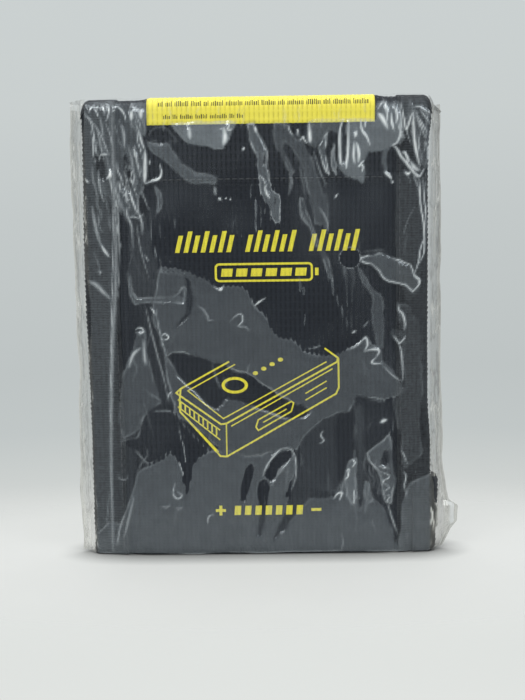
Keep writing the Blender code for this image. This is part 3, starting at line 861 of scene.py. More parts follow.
def make_edge_tapes():
    def on_mouth(x, out, rise):
        y = half_depth(x + 0 * out, out) + rise
        return np.stack(np.broadcast_arrays(x, y, out), -1)

    x = spaced(-TAPE_IN - 1 * MM, TAPE_IN + 1 * MM, TAPE_STEP)
    piece = edge_channel("mouth_tape", x, on_mouth, MOUTH + TAPE_RISE, -3.0 * MM, TAPE_RISE)
    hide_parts("mouth_binding")
    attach(piece, "pouch")

    def on_flap(x, out, rise):
        return strip(x + 0 * out, out + 0 * x, rise)

    x = spaced(-SIDE, SIDE, TAPE_STEP)
    piece = edge_channel("flap_end_tape", x, on_flap, S_END, TAPE_INNER, TAPE_RISE + 0.1 * MM)
    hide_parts("flap_end_binding")
    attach(piece, "flap")


# ---------------------------------------------------------------- label and print


def label_lift(x, s, s_low, s_high):
    """The label lies on the ribs, and its cut edges come down to them."""
    inset = np.minimum(np.minimum(x - LABEL_LEFT, LABEL_RIGHT - x), np.minimum(s - s_low, s_high - s))
    return weave(x, s) * 0.75 + 0.24 * MM * smooth(inset / (0.25 * MM) + 0.02)


def make_label():
    x = spaced(LABEL_LEFT, LABEL_RIGHT, RIB_PITCH / 6)[None, :]
    for name, low, high, node, bodies, bend in (
        ("label_sheet_front", LABEL_LOW, S_MIDDLE, ("label_front", "label_cover"), ("pouch", "cover"),
         FRONT_BEND),
        ("label_sheet_back", S_MIDDLE, S_LABEL_END, ("label_flap",), ("cover", "flap"), BACK_BEND),
    ):
        s = spaced(low, high, 0.35 * MM)[:, None]
        points = settle(strip(x, s, label_lift(x, s, LABEL_LOW, S_LABEL_END)))
        piece = grid_piece(name, points, (x + 0 * s, s + 0 * x), LABEL)
        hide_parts(*node)
        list(bodies)
        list(bend)
        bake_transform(piece)


def patches_piece(name, patches, material):
    """Several small grids in one piece."""
    points, faces, start = [], [], 0
    for patch in patches:
        rows, columns = patch.shape[:2]
        points.append(patch.reshape(-1, 3))
        faces.append(grid_faces(rows, columns) + start)
        start += rows * columns
    points = np.concatenate(points)
    mesh = mesh_from(name, points, np.concatenate(faces), points[:, (0, 2)] / MM)
    return finish_piece(name, mesh, material)


def make_label_marks():
    """Rows of small plain upright blocks, where a label has its small print."""
    rng = np.random.default_rng(11)

    def row(s_centre, left, right):
        patches, x = [], left
        while x < right - 0.8 * MM:
            for _ in range(rng.integers(3, 11)):
                width, tall = rng.uniform(0.24, 0.44) * MM, rng.choice((1.15, 1.15, 1.6)) * MM
                if x + width > right:
                    break
                bottom = s_centre - 0.65 * MM
                xs = np.linspace(x, x + width, 4)[None, :]
                ss = np.linspace(bottom, bottom + tall, 5)[:, None]
                lift = label_lift(xs, ss, LABEL_LOW, S_LABEL_END) + 0.03 * MM
                patches.append(settle(strip(xs, ss, lift)))
                x += width + 0.36 * MM
            x += 0.80 * MM
        return patches

    left, right = LABEL_LEFT + 4.5 * MM, LABEL_RIGHT - 1.6 * MM
    front = row(LABEL_LOW + 3.0 * MM, left + 2 * MM, -4.5 * MM)
    front += row(LABEL_LOW + 7.6 * MM, left, right)
    front += row(S_TOP + 0.2 * MM, left, right)
    piece = patches_piece("label_marks_front", front, DARK_INK)
    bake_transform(piece)
    back = []
    for i in range(6):
        end = right if i % 3 else right - 22 * MM
        back += row(S_MIDDLE + (3.2 + 4.6 * i) * MM, left, end)
    piece = patches_piece("label_marks_back", back, DARK_INK)
    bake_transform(piece)


INK_LIFT = 0.05 * MM
INK_COAT = 0.004  # millimetres between strokes that cross
BAR_LOW, BAR_WIDTH, BAR_PITCH, BAR_LEAN = 120.6, 1.75, 3.3, 0.24


def printed(x, z, rank):
    """Printing on the front panel: a stroke of higher rank lies over the lower ones."""
    return front_face(x, z, INK_LIFT + rank * INK_COAT * MM)


def stroke(points, width, closed=False, rank=0):
    """A printed line of even width through points given in millimetres on the front panel."""
    line = np.array(points, float) * MM
    if closed:
        line = np.vstack([line, line[:1]])
    dense = [line[0]]
    for a, b in zip(line[:-1], line[1:]):
        count = max(1, int(np.linalg.norm(b - a) / (0.4 * MM)))
        dense += [a + (b - a) * i / count for i in range(1, count + 1)]
    dense = np.array(dense)
    step = np.diff(dense, axis=0)
    step /= np.linalg.norm(step, axis=1, keepdims=True)
    before = np.vstack([step[-1:] if closed else step[:1], step])
    after = np.vstack([step, step[:1] if closed else step[-1:]])
    normal = before + after
    normal /= np.linalg.norm(normal, axis=1, keepdims=True)
    stretch = 1 / np.maximum(0.5, np.sum(normal * after, axis=1))
    side = np.stack([-normal[:, 1], normal[:, 0]], -1) * (stretch * width * MM / 2)[:, None]
    rows = np.stack([dense - side, dense - side / 3, dense + side / 3, dense + side])
    return printed(rows[..., 0], rows[..., 1], rank)


def filled(corners, steps, rank=0):
    """A printed four-cornered area: corners in millimetres, low edge left to right, then high edge."""
    a, b, c, d = (np.array(corner, float) * MM for corner in corners)
    u = np.linspace(0, 1, steps)[None, :, None]
    rows = max(3, int(np.linalg.norm(c - a) / (0.4 * MM)))
    v = np.linspace(0, 1, rows)[:, None, None]
    flat = (a + (b - a) * u) * (1 - v) + (c + (d - c) * u) * v
    return printed(flat[..., 0], flat[..., 1], rank)


def ellipse(centre, across, up, count=40, start=0, end=360):
    angles = np.radians(np.linspace(start, end, count))
    return [(centre[0] + across * math.cos(a), centre[1] + up * math.sin(a)) for a in angles]


def ring(centre, outer, inner, count=48, rank=0):
    """A printed elliptical ring."""
    angles = np.linspace(0, 2 * math.pi, count)[None, :]
    share = np.linspace(0, 1, 4)[:, None]
    across = inner[0] + (outer[0] - inner[0]) * share
    up = inner[1] + (outer[1] - inner[1]) * share
    x = (centre[0] + across * np.cos(angles)) * MM
    z = (centre[1] + up * np.sin(angles)) * MM
    return printed(x, z, rank)


def print_piece(name, patches):
    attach(patches_piece(name, patches, INK), "pouch")


def make_print():
    """Printing on the front: slanted bars, a charge gauge, a battery pack in outline and a polarity row."""
    bars = []
    for left, count in ((-32.4, 7), (-5.3, 6), (19.4, 6)):
        for i in range(count):
            x = left + i * BAR_PITCH
            tall = 8.2 if i % 2 else 6.6
            lean, high = tall * BAR_LEAN, BAR_LOW + tall
            corners = [(x, BAR_LOW), (x + BAR_WIDTH, BAR_LOW), (x + lean, high)]
            corners.append((x + BAR_WIDTH + lean, high))
            bars.append(filled(corners, 7))
    print_piece("print_bars", bars)

    gauge = []
    low, high, left, right = 109.4, 115.9, -16.8, 20.6
    corner, outline = 1.4, []
    left_in, right_in, low_in, high_in = left + corner, right - corner, low + corner, high - corner
    for x, z, start in ((left_in, high_in, 180), (right_in, high_in, 90), (right_in, low_in, 0),
                        (left_in, low_in, -90)):
        outline += ellipse((x, z), corner, corner, 7, start, start - 90)
    gauge.append(stroke(outline, 0.85, closed=True))
    cap_low, cap_high = right + 1.2, right + 2.6
    gauge.append(filled([(cap_low, 111.2), (cap_high, 111.2), (cap_low, 114.1), (cap_high, 114.1)], 6))
    for i in range(6):
        x = left + 2.0 + i * 5.75
        gauge.append(filled([(x, 111.1), (x + 4.3, 111.1), (x + 0.4, 114.2), (x + 4.7, 114.2)], 15))
    print_piece("print_gauge", gauge)

    print_piece("print_battery", battery_drawing())

    row = []
    row.append(filled([(-18.6, 17.5), (-14.6, 17.5), (-18.6, 18.7), (-14.6, 18.7)], 12))
    row.append(filled([(-17.2, 16.1), (-16.0, 16.1), (-17.2, 20.1), (-16.0, 20.1)], 4, rank=1))
    for i in range(7):
        x = -11.2 + i * 4.1
        row.append(filled([(x, 16.2), (x + 2.5, 16.2), (x + 0.3, 20.0), (x + 2.8, 20.0)], 9))
    row.append(filled([(19.4, 17.5), (23.4, 17.5), (19.4, 18.7), (23.4, 18.7)], 12))
    print_piece("print_polarity", row)


def battery_drawing():
    """A plain battery pack seen from above one corner, in outline."""
    near, to_left, to_right = np.array((-15.2, 52.4)), np.array((-18.6, 13.6)), np.array((46.8, 25.6))
    depth = 13.2
    line = 0.66
    lines = []

    def spot(left, right, down):
        return near + to_left * left + to_right * right - np.array((0, depth * down)) * (1 - 0.18 * left)

    def draw(places, width=line, closed=False):
        lines.append(stroke([spot(*place) for place in places], width, closed, rank=len(lines) % 6))

    draw([(1, 0.46, 0), (1, 0.05, 0), (0.97, 0, 0), (0.04, 0, 0), (0, 0.03, 0), (0, 0.97, 0), (0.06, 1, 0),
          (0.34, 1, 0)], 0.72)
    draw([(0.9, 0.47, 0), (0.9, 0.07, 0), (0.11, 0.05, 0), (0.1, 0.92, 0)], 0.5)
    draw([(1, 0.05, 0), (1, 0.04, 0.36), (0.9, 0, 0.58), (0.06, 0, 1), (0, 0.03, 1), (0, 0.96, 0.94),
          (0.03, 0.995, 0.86), (0.05, 1, 0)], 0.72)
    draw([(0, 0.03, 0), (0, 0.03, 1)], 0.55)
    draw([(0.94, 0, 0.2), (0.06, 0, 0.2)], 0.5)
    draw([(0.94, 0, 0.46), (0.06, 0, 0.5)], 0.5)
    for i in range(9):
        left = 0.88 - 0.093 * i
        draw([(left, 0, 0.21), (left, 0, 0.46)], 0.6)
    draw([(0.8, 0, 0.62), (0.1, 0, 0.92)], 0.5)
    draw([(0, 0.07, 0.16), (0, 0.93, 0.13)], 0.5)
    draw([(0, 0.30, 0.42), (0, 0.58, 0.42), (0, 0.60, 0.5), (0, 0.58, 0.72), (0, 0.30, 0.74), (0, 0.28, 0.6)],
         0.6, True)
    draw([(0, 0.34, 0.58), (0, 0.54, 0.57)], 0.5)
    draw([(0, 0.70, 0.42), (0, 0.88, 0.4)], 0.5)
    draw([(0, 0.70, 0.62), (0, 0.88, 0.6)], 0.5)
    lines.append(ring((-10.2, 68.4), (5.2, 3.3), (3.9, 2.2)))
    for i in range(4):
        lines.append(ring((-2.0 + 3.3 * i, 73.1 + 1.75 * i), (1.05, 0.8), (0.02, 0.02), 24))
    return lines


# ---------------------------------------------------------------- stitches and closure


THREAD_RISE = 0.13 * MM  # how far a seam's thread stands out of the tape
THREAD_ON_FABRIC = 0.05 * MM


def stitch_paths(place, start, end, pitch=2.7 * MM, gap=0.45 * MM, rise=0.16 * MM):
    """Separate stitches along a line. place(t, lift) gives the points at lengths t."""
    paths = []
    count = int((end - start) / pitch)
    for i in range(count):
        t = np.linspace(start + i * pitch + gap / 2, start + (i + 1) * pitch - gap / 2, 6)
        lift = rise * np.sin(np.linspace(0.0, math.pi, 6)) ** 0.6 - 0.10 * MM
        paths.append(place(t, lift))
    return paths


def make_stitches():
    radius = 0.19 * MM
    seam = TAPE_IN + 1.5 * MM
    fold_stop = S_FOLD - 1.5 * MM

    def front_seam(side):
        def place(t, lift):
            x = np.full_like(t, side * seam)
            return settle(strip(x, t, lift + TAPE_RISE + THREAD_RISE))

        return place

    def back_seam(side):
        def place(t, lift):
            x = np.full_like(t, side * seam)
            y = half_depth(x, t) + TAPE_RISE + THREAD_RISE + lift
            return settle(np.stack([x, y, t], -1))

        return place

    for side, name in ((-1, "left"), (1, "right")):
        low = 3 * MM if side < 0 else tail_high.z + 0.6 * MM
        paths = stitch_paths(front_seam(side), low, fold_stop)
        paths += stitch_paths(back_seam(side), low, MOUTH - TAPE_WIDTH)
        piece = tubes_piece(f"stitches_{name}", paths, radius, 6, THREAD, 0.7)
        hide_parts(f"seam_thread_{name}")
        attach(piece, "pouch")

    def band_line(t, lift):
        return settle(strip(t, np.full_like(t, BAND_STITCH), weave(t, BAND_STITCH) + lift + THREAD_ON_FABRIC))

    paths = stitch_paths(band_line, -TAPE_IN + 0.4 * MM, TAPE_IN - 0.4 * MM)
    piece = tubes_piece("stitches_band", paths, radius, 6, THREAD, 0.7)
    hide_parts("band_thread")
    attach(piece, "pouch")

    inset = 1.5 * MM
    left, right = hook_low.x + inset, hook_high.x - inset
    s_high = S_FLAP + FOLD_Z - hook_low.z - inset
    s_low = S_FLAP + FOLD_Z - hook_high.z + inset

    def across(s, base_lift):
        def place(t, lift):
            return settle(strip(t, np.full_like(t, s), weave(t, s) + lift + base_lift))

        return place

    def along(x, base_lift):
        def place(t, lift):
            spot = np.full_like(t, x)
            return settle(strip(spot, t, weave(spot, t) * (base_lift < 0.5 * MM) + lift + base_lift))

        return place

    paths = []
    for s in (s_low, s_high):
        paths += stitch_paths(across(s, THREAD_ON_FABRIC), left, right)
    for x in (left, right):
        paths += stitch_paths(along(x, THREAD_ON_FABRIC), s_low, s_high)
    for side in (-1, 1):
        place = along(side * seam, TAPE_RISE + THREAD_RISE)
        paths += stitch_paths(place, S_FLAP + 1 * MM, S_END - TAPE_WIDTH)
    end_line = S_END - TAPE_WIDTH + 1.5 * MM
    paths += stitch_paths(across(end_line, TAPE_RISE + 0.1 * MM), -SIDE + 3 * MM, SIDE - 3 * MM)
    piece = tubes_piece("stitches_flap", paths, radius, 6, THREAD, 0.7)
    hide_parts("hook_thread")
    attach(piece, "flap")


def backing(name, low, high, y, outward, material):
    """The woven ground of a hook or loop strip."""
    x = spaced(low.x, high.x, 0.5 * MM)[None, :]
    z = spaced(low.z, high.z, 0.5 * MM)[:, None]
    lift = 0.10 * MM * (np.cos(2 * math.pi * x / (1.0 * MM)) * np.cos(2 * math.pi * z / (1.0 * MM)))
    points = settle(np.stack(np.broadcast_arrays(x, y + outward * lift, z), -1))
    piece = grid_piece(name, points, (x + 0 * z, z + 0 * x), material, flip=outward > 0)
    thicken(piece, 0.35 * MM)
    return piece


def make_closure():
    rng = np.random.default_rng(23)
    loop_y = loop_high.y - 0.45 * MM
    base_piece = backing("loop_ground", loop_low, loop_high, loop_y, 1, LOOPS)
    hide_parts("loop_strip")
    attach(base_piece, "pouch")
    paths = []
    for x in np.arange(loop_low.x + 1 * MM, loop_high.x - 1 * MM, 1.25 * MM):
        for z in np.arange(loop_low.z + 1 * MM, loop_high.z - 1 * MM, 1.25 * MM):
            turn = rng.uniform(0, math.pi)
            foot = rng.uniform(0.35, 0.6) * MM
            spot = np.array([x + rng.normal(0, 0.25) * MM, loop_y, z + rng.normal(0, 0.25) * MM])
            angle = np.linspace(0, math.pi, 5)
            ways = np.array([math.cos(turn), 0, math.sin(turn)])
            height = rng.uniform(0.35, 0.5) * MM
            path = spot + np.cos(angle)[:, None] * foot * ways
            path[:, 1] += np.sin(angle) * height
            paths.append(settle(path))
    piece = tubes_piece("loop_pile", paths, 0.09 * MM, 4, LOOPS)
    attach(piece, "pouch")

    hook_y = hook_high.y - 0.15 * MM
    base_piece = backing("hook_ground", hook_low, hook_high, hook_y, -1, HOOKS)
    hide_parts("hook_strip")
    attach(base_piece, "flap")
    paths = []
    for x in np.arange(hook_low.x + 1 * MM, hook_high.x - 1 * MM, 1.5 * MM):
        for z in np.arange(hook_low.z + 1 * MM, hook_high.z - 1 * MM, 1.2 * MM):
            way = 1 if int(z / (1.2 * MM)) % 2 else -1
            path = np.array([[0, 0, 0], [0, -0.35, 0.02], [0, -0.6, 0.1], [0, -0.66, 0.28], [0, -0.5, 0.4]])
            path = path * MM * np.array([1, 1, way])
            paths.append(settle(path + np.array([x, hook_y, z])))
    piece = tubes_piece("hook_pile", paths, 0.1 * MM, 4, HOOKS)
    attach(piece, "flap")


# ---------------------------------------------------------------- clear sleeve

VENT_X, VENT_Z, VENT_RADIUS = 35.4 * MM, 117.7 * MM, 3.8 * MM
FILM_STEP = 0.56 * MM
FILM_LOW = 0.7 * MM
FILM_FOLD_Z = 176.6 * MM
FILM_RADIUS = 3.4 * MM
FILM_RUN = 9.2 * MM
FILM_BACK_Y = 12.3 * MM
FILM_SIDE = sleeve_high.x
FILM_HEM = 1.5 * MM  # how far in from the pouch's side the film begins to leave the fabric
FILM_MEET = 0.4 * MM  # how far behind the middle the front and back films meet at their side edge
FILM_BACK_STEP = 1.3 * MM

# Areas where the film hangs free of the fabric (strong veil) or clings to it (veil near zero), laid one over
# another: the veil, partly real and partly painted reflection; the painted highlight on the area's outline,
# with painted shade just outside it; and its corners in millimetres on the front
FILM_AREAS = (
    (0.72, 0.0, ((-68, 0), (-68, 150), (-57, 150), (-58, 100), (-60, 0))),
    (1.15, 0.15, ((-68, 150), (-67, 177), (-62, 179), (-50, 178), (-45, 168), (-43, 158), (-44, 148),
        (-48, 134), (-54, 132), (-57, 142))),
    (0.35, 0.0, ((-57, 100), (-50, 100), (-50, 40), (-52, 22), (-56, 8), (-60, 0), (-60, 60))),
    (0.1, 0.15, ((-52, 158), (-50, 160), (-48, 152), (-49, 144), (-52, 146))),
    (0.1, 0.15, ((-63, 158), (-60.5, 160), (-58.6, 157), (-58.6, 149), (-62, 150))),
    (0.9, 0.12, ((55, 178), (64, 178), (67, 170), (66.4, 154), (64.6, 151), (62, 158), (61, 168),
        (58, 170), (56, 172))),
    (0.45, 0.1, ((-50, 120), (-52, 112), (-49, 103), (-30, 101), (-27, 108), (-30, 114), (-38, 117),
        (-42, 126))),
    (1.0, 0.25, ((-38, 115), (-30, 114), (-25, 112), (-20, 110), (-16, 107), (-13, 108.5), (-6, 108),
        (-4, 105), (-2, 100), (3, 94), (8, 87.5), (13, 86), (15, 84), (17, 81.5), (20, 80.2), (26, 80),
        (31, 81), (36, 83.5), (41, 87), (43, 84.5), (47.5, 81.5), (47, 78), (50, 75), (54, 71),
        (56.5, 66), (54, 63), (49, 62), (43, 63), (38, 63.5), (36, 60), (34, 57), (24, 50), (14, 43),
        (0, 38), (-12, 40), (-25, 46), (-34, 58), (-36, 70), (-38, 84), (-41, 92), (-42, 101))),
    (0.0, 0.32, ((-37, 80), (-34, 82.5), (-30, 82), (-22, 79), (-14, 76), (-3, 72), (8, 64), (17, 59.5),
        (19.5, 57), (17, 54.5), (12, 54), (2, 58), (-5, 61), (-10, 62.5), (-14, 62.5), (-17, 59),
        (-19, 59), (-22, 61), (-29, 68.5), (-33, 74))),
    (1.22, 0.16, ((-68, -3), (-67, 8), (-60, 14), (-57, 12), (-52, 25), (-49, 33.5), (-44, 36.5),
        (-37, 41), (-34.5, 40.5), (-31.5, 34), (-29.8, 25.5), (-28.5, 36), (-25, 40), (-20, 43),
        (-10, 41), (0, 40), (8, 43.5), (12, 42), (13.5, 38), (13, 32), (11, 26), (10, 23.5), (17, 23),
        (25, 22.5), (28, 23), (31, 25), (33, 30), (33.5, 35), (36, 38.8), (37.5, 37), (37.5, 24),
        (38.5, 17), (40, 22), (41, 29), (43, 27), (45, 22), (48, 19), (52.4, 9), (54, 3), (55.2, 12),
        (55.4, 20), (58, 27), (62, 29), (66, 31), (70, 31), (71, 15), (70, -3))),
    (0.95, 0.15, ((-48.5, 90), (-45.5, 90), (-44.5, 83), (-43, 76), (-41.5, 70), (-39.5, 62), (-43, 60),
        (-46, 57), (-48.5, 51), (-55, 46.5), (-56, 55), (-55.5, 66), (-54, 74), (-51, 82))),
    (0.05, 0.25, ((-56, 45.5), (-50, 47.5), (-48, 51), (-46, 57), (-43, 58.8), (-38, 58.5), (-34, 57.5),
        (-33, 52), (-31, 47), (-30, 42), (-32, 40), (-36, 41.5), (-40, 40), (-45, 37), (-48, 40),
        (-50, 43))),
    (0.1, 0.2, ((-33, 56), (-29, 50), (-24, 45), (-21, 42), (-18, 42.5), (-16, 44), (-22, 49),
        (-29, 54))),
    (0.05, 0.3, ((0.5, 32), (3, 37), (6, 41), (9, 43), (12, 42.5), (12.5, 40), (9, 36), (5, 31),
        (3, 29))),
    (0.35, 0.05, ((-9, 22), (-8, 30), (-6, 36), (-4, 38), (-2.5, 36), (-5, 28), (-6.5, 22))),
    (0.35, 0.05, ((-2, 29), (1, 31), (3, 28), (2, 14), (0, 7), (-2, 8), (-0.5, 16))),
    (0.3, 0.1, ((4, 6), (7, 14), (11, 24), (13, 32), (16, 38), (19, 33), (22, 27), (15, 18), (9, 10))),
    (0.3, 0.1, ((14, 43), (20, 51), (25, 55), (30, 57), (35, 57), (37, 50), (36, 38), (33, 30), (30, 25),
        (22, 26), (19, 33), (16, 38))),
    (0.0, 0.0, ((29, 50), (31, 57), (35.5, 57), (37, 48), (35.5, 39), (33, 34), (32, 29), (30, 30))),
    (0.1, 0.12, ((36.5, 62.5), (38.5, 63), (43, 62), (50, 61.5), (52, 58), (52, 50), (50, 47), (46, 43.5),
        (41, 40.5), (40, 30), (38.2, 30), (37.8, 45))),
    (0.5, 0.0, ((37.6, 60), (40.5, 60), (40.2, 40), (40.3, 22), (37.8, 22), (37.6, 40))),
    (1.3, 0.3, ((41, 40.5), (44, 43), (47, 45), (50, 47.5), (51.5, 42), (52.5, 30), (51, 20), (49, 21),
        (47, 31), (43, 37))),
    (0.15, 0.1, ((48, 42), (50, 42), (50.5, 37), (48.5, 35.5), (46.5, 36.5))),
    (0.1, 0.1, ((41, 39), (44, 35), (48, 24), (52, 12), (54, 6), (53, 4), (49, 16), (45, 22), (43, 28),
        (41, 33))),
    (1.8, 0.2, ((33.2, 34), (34.5, 37.5), (37, 38.5), (37.4, 24), (35.5, 20), (33, 24))),
    (1.5, 0.2, ((41, 29), (43.5, 26), (44.5, 22), (42, 20), (41, 23))),
    (0.45, 0.0, ((53, 150), (63, 150), (64, 118), (62, 104), (58, 100), (54, 112))),
    (0.5, 0.1, ((54, 100), (58, 99), (61, 93), (63, 90), (64, 40), (57, 34), (52, 62), (57, 67),
        (56, 80))),
    (0.05, 0.0, ((-54.5, 140), (-50.5, 135), (-50.5, 118), (-52.5, 112), (-50.5, 106), (-48.5, 102),
        (-46, 97), (-46.5, 93), (-49, 88), (-51.5, 80), (-54.5, 76), (-55.5, 62), (-56.8, 62), (-56, 104),
        (-54.5, 115))),
    (0.4, 0.05, ((-50, 134), (-44, 136), (-41.5, 130), (-40.5, 121), (-38, 116), (-42, 109), (-46, 112),
        (-50, 120))),
    (1.35, 0.25, ((-51.8, 113.5), (-50, 112), (-49, 106), (-47.5, 103.6), (-44, 103.4), (-34, 103.5),
        (-31.5, 105), (-30.5, 107.5), (-29, 107), (-29.6, 101.2), (-33, 101.4), (-40, 101.2),
        (-48, 101.4), (-50.5, 105), (-51, 110))),
    (0.3, 0.0, ((-31.6, 104.2), (-30.4, 106.2), (-30, 103.4))),
    (0.2, 0.0, ((-28.8, 111), (-27.2, 110), (-26, 104), (-26.6, 97), (-30, 93), (-33, 91.5),
        (-28.8, 97))),
    (1.2, 0.15, ((-38, 115.6), (-33, 115.4), (-28.6, 113), (-29.4, 111.4), (-33, 113.2), (-38, 113.4))),
    (3.0, 0.15, ((-33, 170.5), (-29, 165), (-26, 162.5), (-20, 161.5), (-16, 160), (-13, 160.5),
        (-11, 164), (-8, 170.5))),
    (1.5, 0.12, ((-43, 163.5), (-38, 162.5), (-34, 162), (-31, 158), (-28, 155), (-24, 152), (-18, 150),
        (-15.5, 148.6), (-16.5, 147.2), (-24, 147), (-27, 148.5), (-31, 151), (-34, 154.5), (-38, 157),
        (-41, 160))),
    (1.6, 0.45, ((-3.8, 169.5), (-3, 165), (-2, 161), (-0.5, 157.5), (-0.8, 152), (0, 148), (1, 144),
        (1.5, 140.5), (3, 139), (4.5, 137), (5, 133), (7, 130.3), (8, 131.5), (8.8, 136), (9, 140),
        (8, 142.5), (6, 143.5), (5, 145.5), (4.5, 150), (4, 155), (4.2, 159), (2.5, 163), (0.8, 166),
        (-1, 169.5))),
    (0.2, 0.2, ((1.6, 155), (2, 158), (3, 158.4), (3.6, 156), (3, 153.8), (2, 153.6))),
    (0.4, 0.1, ((6, 141.5), (7, 141), (7.2, 137.5), (6.2, 138.5))),
    (0.7, 0.2, ((-1, 141), (-1.3, 125), (-0.6, 116), (0.2, 116), (-0.2, 128), (0.2, 140))),
    (0.7, 0.1, ((1.4, 138), (1, 117), (2.4, 117), (2.8, 137))),
    (0.7, 0.15, ((-2.4, 146), (-2, 145), (-1.8, 142), (-2.3, 141), (-2.8, 143))),
    (1.0, 0.15, ((6.8, 169.5), (7.2, 163), (8.4, 159), (9.4, 160), (9.6, 156.5), (11.4, 152.5),
        (13.2, 149.5), (14, 151), (11.5, 156), (10.4, 160), (10.8, 163), (12.6, 161), (15, 157.5),
        (17.4, 152), (19.4, 145), (20, 139), (22, 131), (25.6, 131), (26.6, 127), (27.5, 131), (27, 139),
        (24, 147), (21.5, 154), (19.2, 160), (17.5, 164), (15.5, 163.5), (12.8, 166), (11.8, 169.5))),
    (0.15, 0.2, ((14.5, 156.5), (17, 153), (19, 147), (20.4, 141), (18.6, 140), (17.6, 147),
        (15.6, 153))),
    (0.1, 0.12, ((22, 159), (24.6, 150), (26.4, 143), (25, 141), (22.6, 149), (20.8, 157))),
    (0.8, 0.25, ((16.2, 141), (15.8, 138), (17.4, 133), (20, 128.5), (23.6, 121), (26.6, 113),
        (28.6, 104), (31, 97), (34.4, 90.5), (35, 91.5), (32.4, 98), (30, 106), (28.4, 114), (25, 122),
        (21.4, 129), (19, 134), (17.4, 141))),
    (1.1, 0.2, ((12.2, 150), (13.4, 147), (13.2, 143.5), (12, 142), (12.4, 146))),
    (0.6, 0.1, ((33.2, 114), (34.2, 114), (34.6, 102), (36.6, 91), (35.4, 91), (33.6, 101))),
    (0.5, 0.05, ((35.6, 114), (37, 113), (36.6, 100), (36, 100))),
    (0.9, 0.12, ((38.6, 114), (40, 113), (43.2, 106.5), (46.6, 104), (48.6, 99), (48.8, 93), (48.4, 82),
        (46, 83), (44, 92), (43.4, 97), (44, 103), (40.2, 108))),
    (0.8, 0.1, ((14.6, 112), (16.4, 110), (18.2, 105.5), (17.6, 101), (16.6, 98), (16.4, 103),
        (15, 108))),
    (0.9, 0.1, ((18.6, 100), (19.2, 97), (18, 91), (17, 84), (16.2, 84.4), (17, 91), (18.2, 97))),
    (1.2, 0.6, ((39.5, 118.5), (42.5, 119.2), (50, 118.5), (55, 116.5), (59, 114), (60.5, 110),
        (62.5, 108.5), (62, 106), (59.5, 104), (57, 107), (55, 108), (50.5, 108.5), (47, 111),
        (43.5, 115.5), (40, 116.5))),
    (1.0, 0.1, ((41, 120.8), (46, 121), (50, 119.6), (46, 119.8))),
    (0.5, 0.6, ((52, 89.6), (55, 89.6), (56.6, 91), (56.4, 87), (54.2, 84), (53, 85.2), (51.2, 88))),
    (1.6, 0.3, ((48.8, 159), (50.4, 160), (50, 155), (50, 149.6), (48.8, 149.6), (48.4, 154))),
    (2.6, 0.0, ((31, 170.5), (31.6, 152), (34, 149.5), (38, 148), (40.6, 146.6), (41, 152), (42.6, 158),
        (48, 158.4), (51.4, 160.4), (55, 161), (55.6, 168), (54, 177), (46, 177), (45.6, 170.5))),
    (0.3, 0.4, ((32, 169.6), (34.4, 169.6), (34.4, 158), (33.6, 154.2), (32.4, 154.6), (31.9, 160))),
    (1.4, 0.1, ((20.6, 170.5), (20.4, 161), (22.6, 159.6), (24.6, 163), (27, 166.4), (30.6, 165),
        (31, 170.5))),
    (1.5, 0.55, ((26.8, 165.5), (24.5, 162), (23.5, 160), (25, 155), (26.2, 151), (27.3, 149.8),
        (27.1, 153), (26.4, 158))),
    (1.2, 0.35, ((29, 161), (29.8, 157), (30.8, 153.5), (29.9, 151.4), (30, 149.4), (29, 151.5),
        (28.6, 156))),
    (2.0, 0.2, ((-48.5, 178), (-42.6, 178), (-42.8, 168.5), (-43, 165.5), (-45, 166), (-48, 170))),
    (0.1, 0.1, ((-42.4, 164.5), (-41, 167.4), (-38.5, 168.8), (-35.5, 168.8), (-33, 167), (-30.5, 163.5),
        (-36, 162.8))),
    (1.1, 0.2, ((-39.6, 146.5), (-37, 144), (-36.6, 140.5), (-37.4, 137.5), (-39.4, 134.4), (-38.8, 138),
        (-38.4, 142))),
    (0.8, 0.12, ((-31.8, 138), (-31, 136), (-30.4, 132), (-31, 128), (-32, 131.5))),
    (0.6, 0.05, ((-38.4, 133), (-37, 130), (-36.8, 126), (-38, 123), (-39, 128))),
)
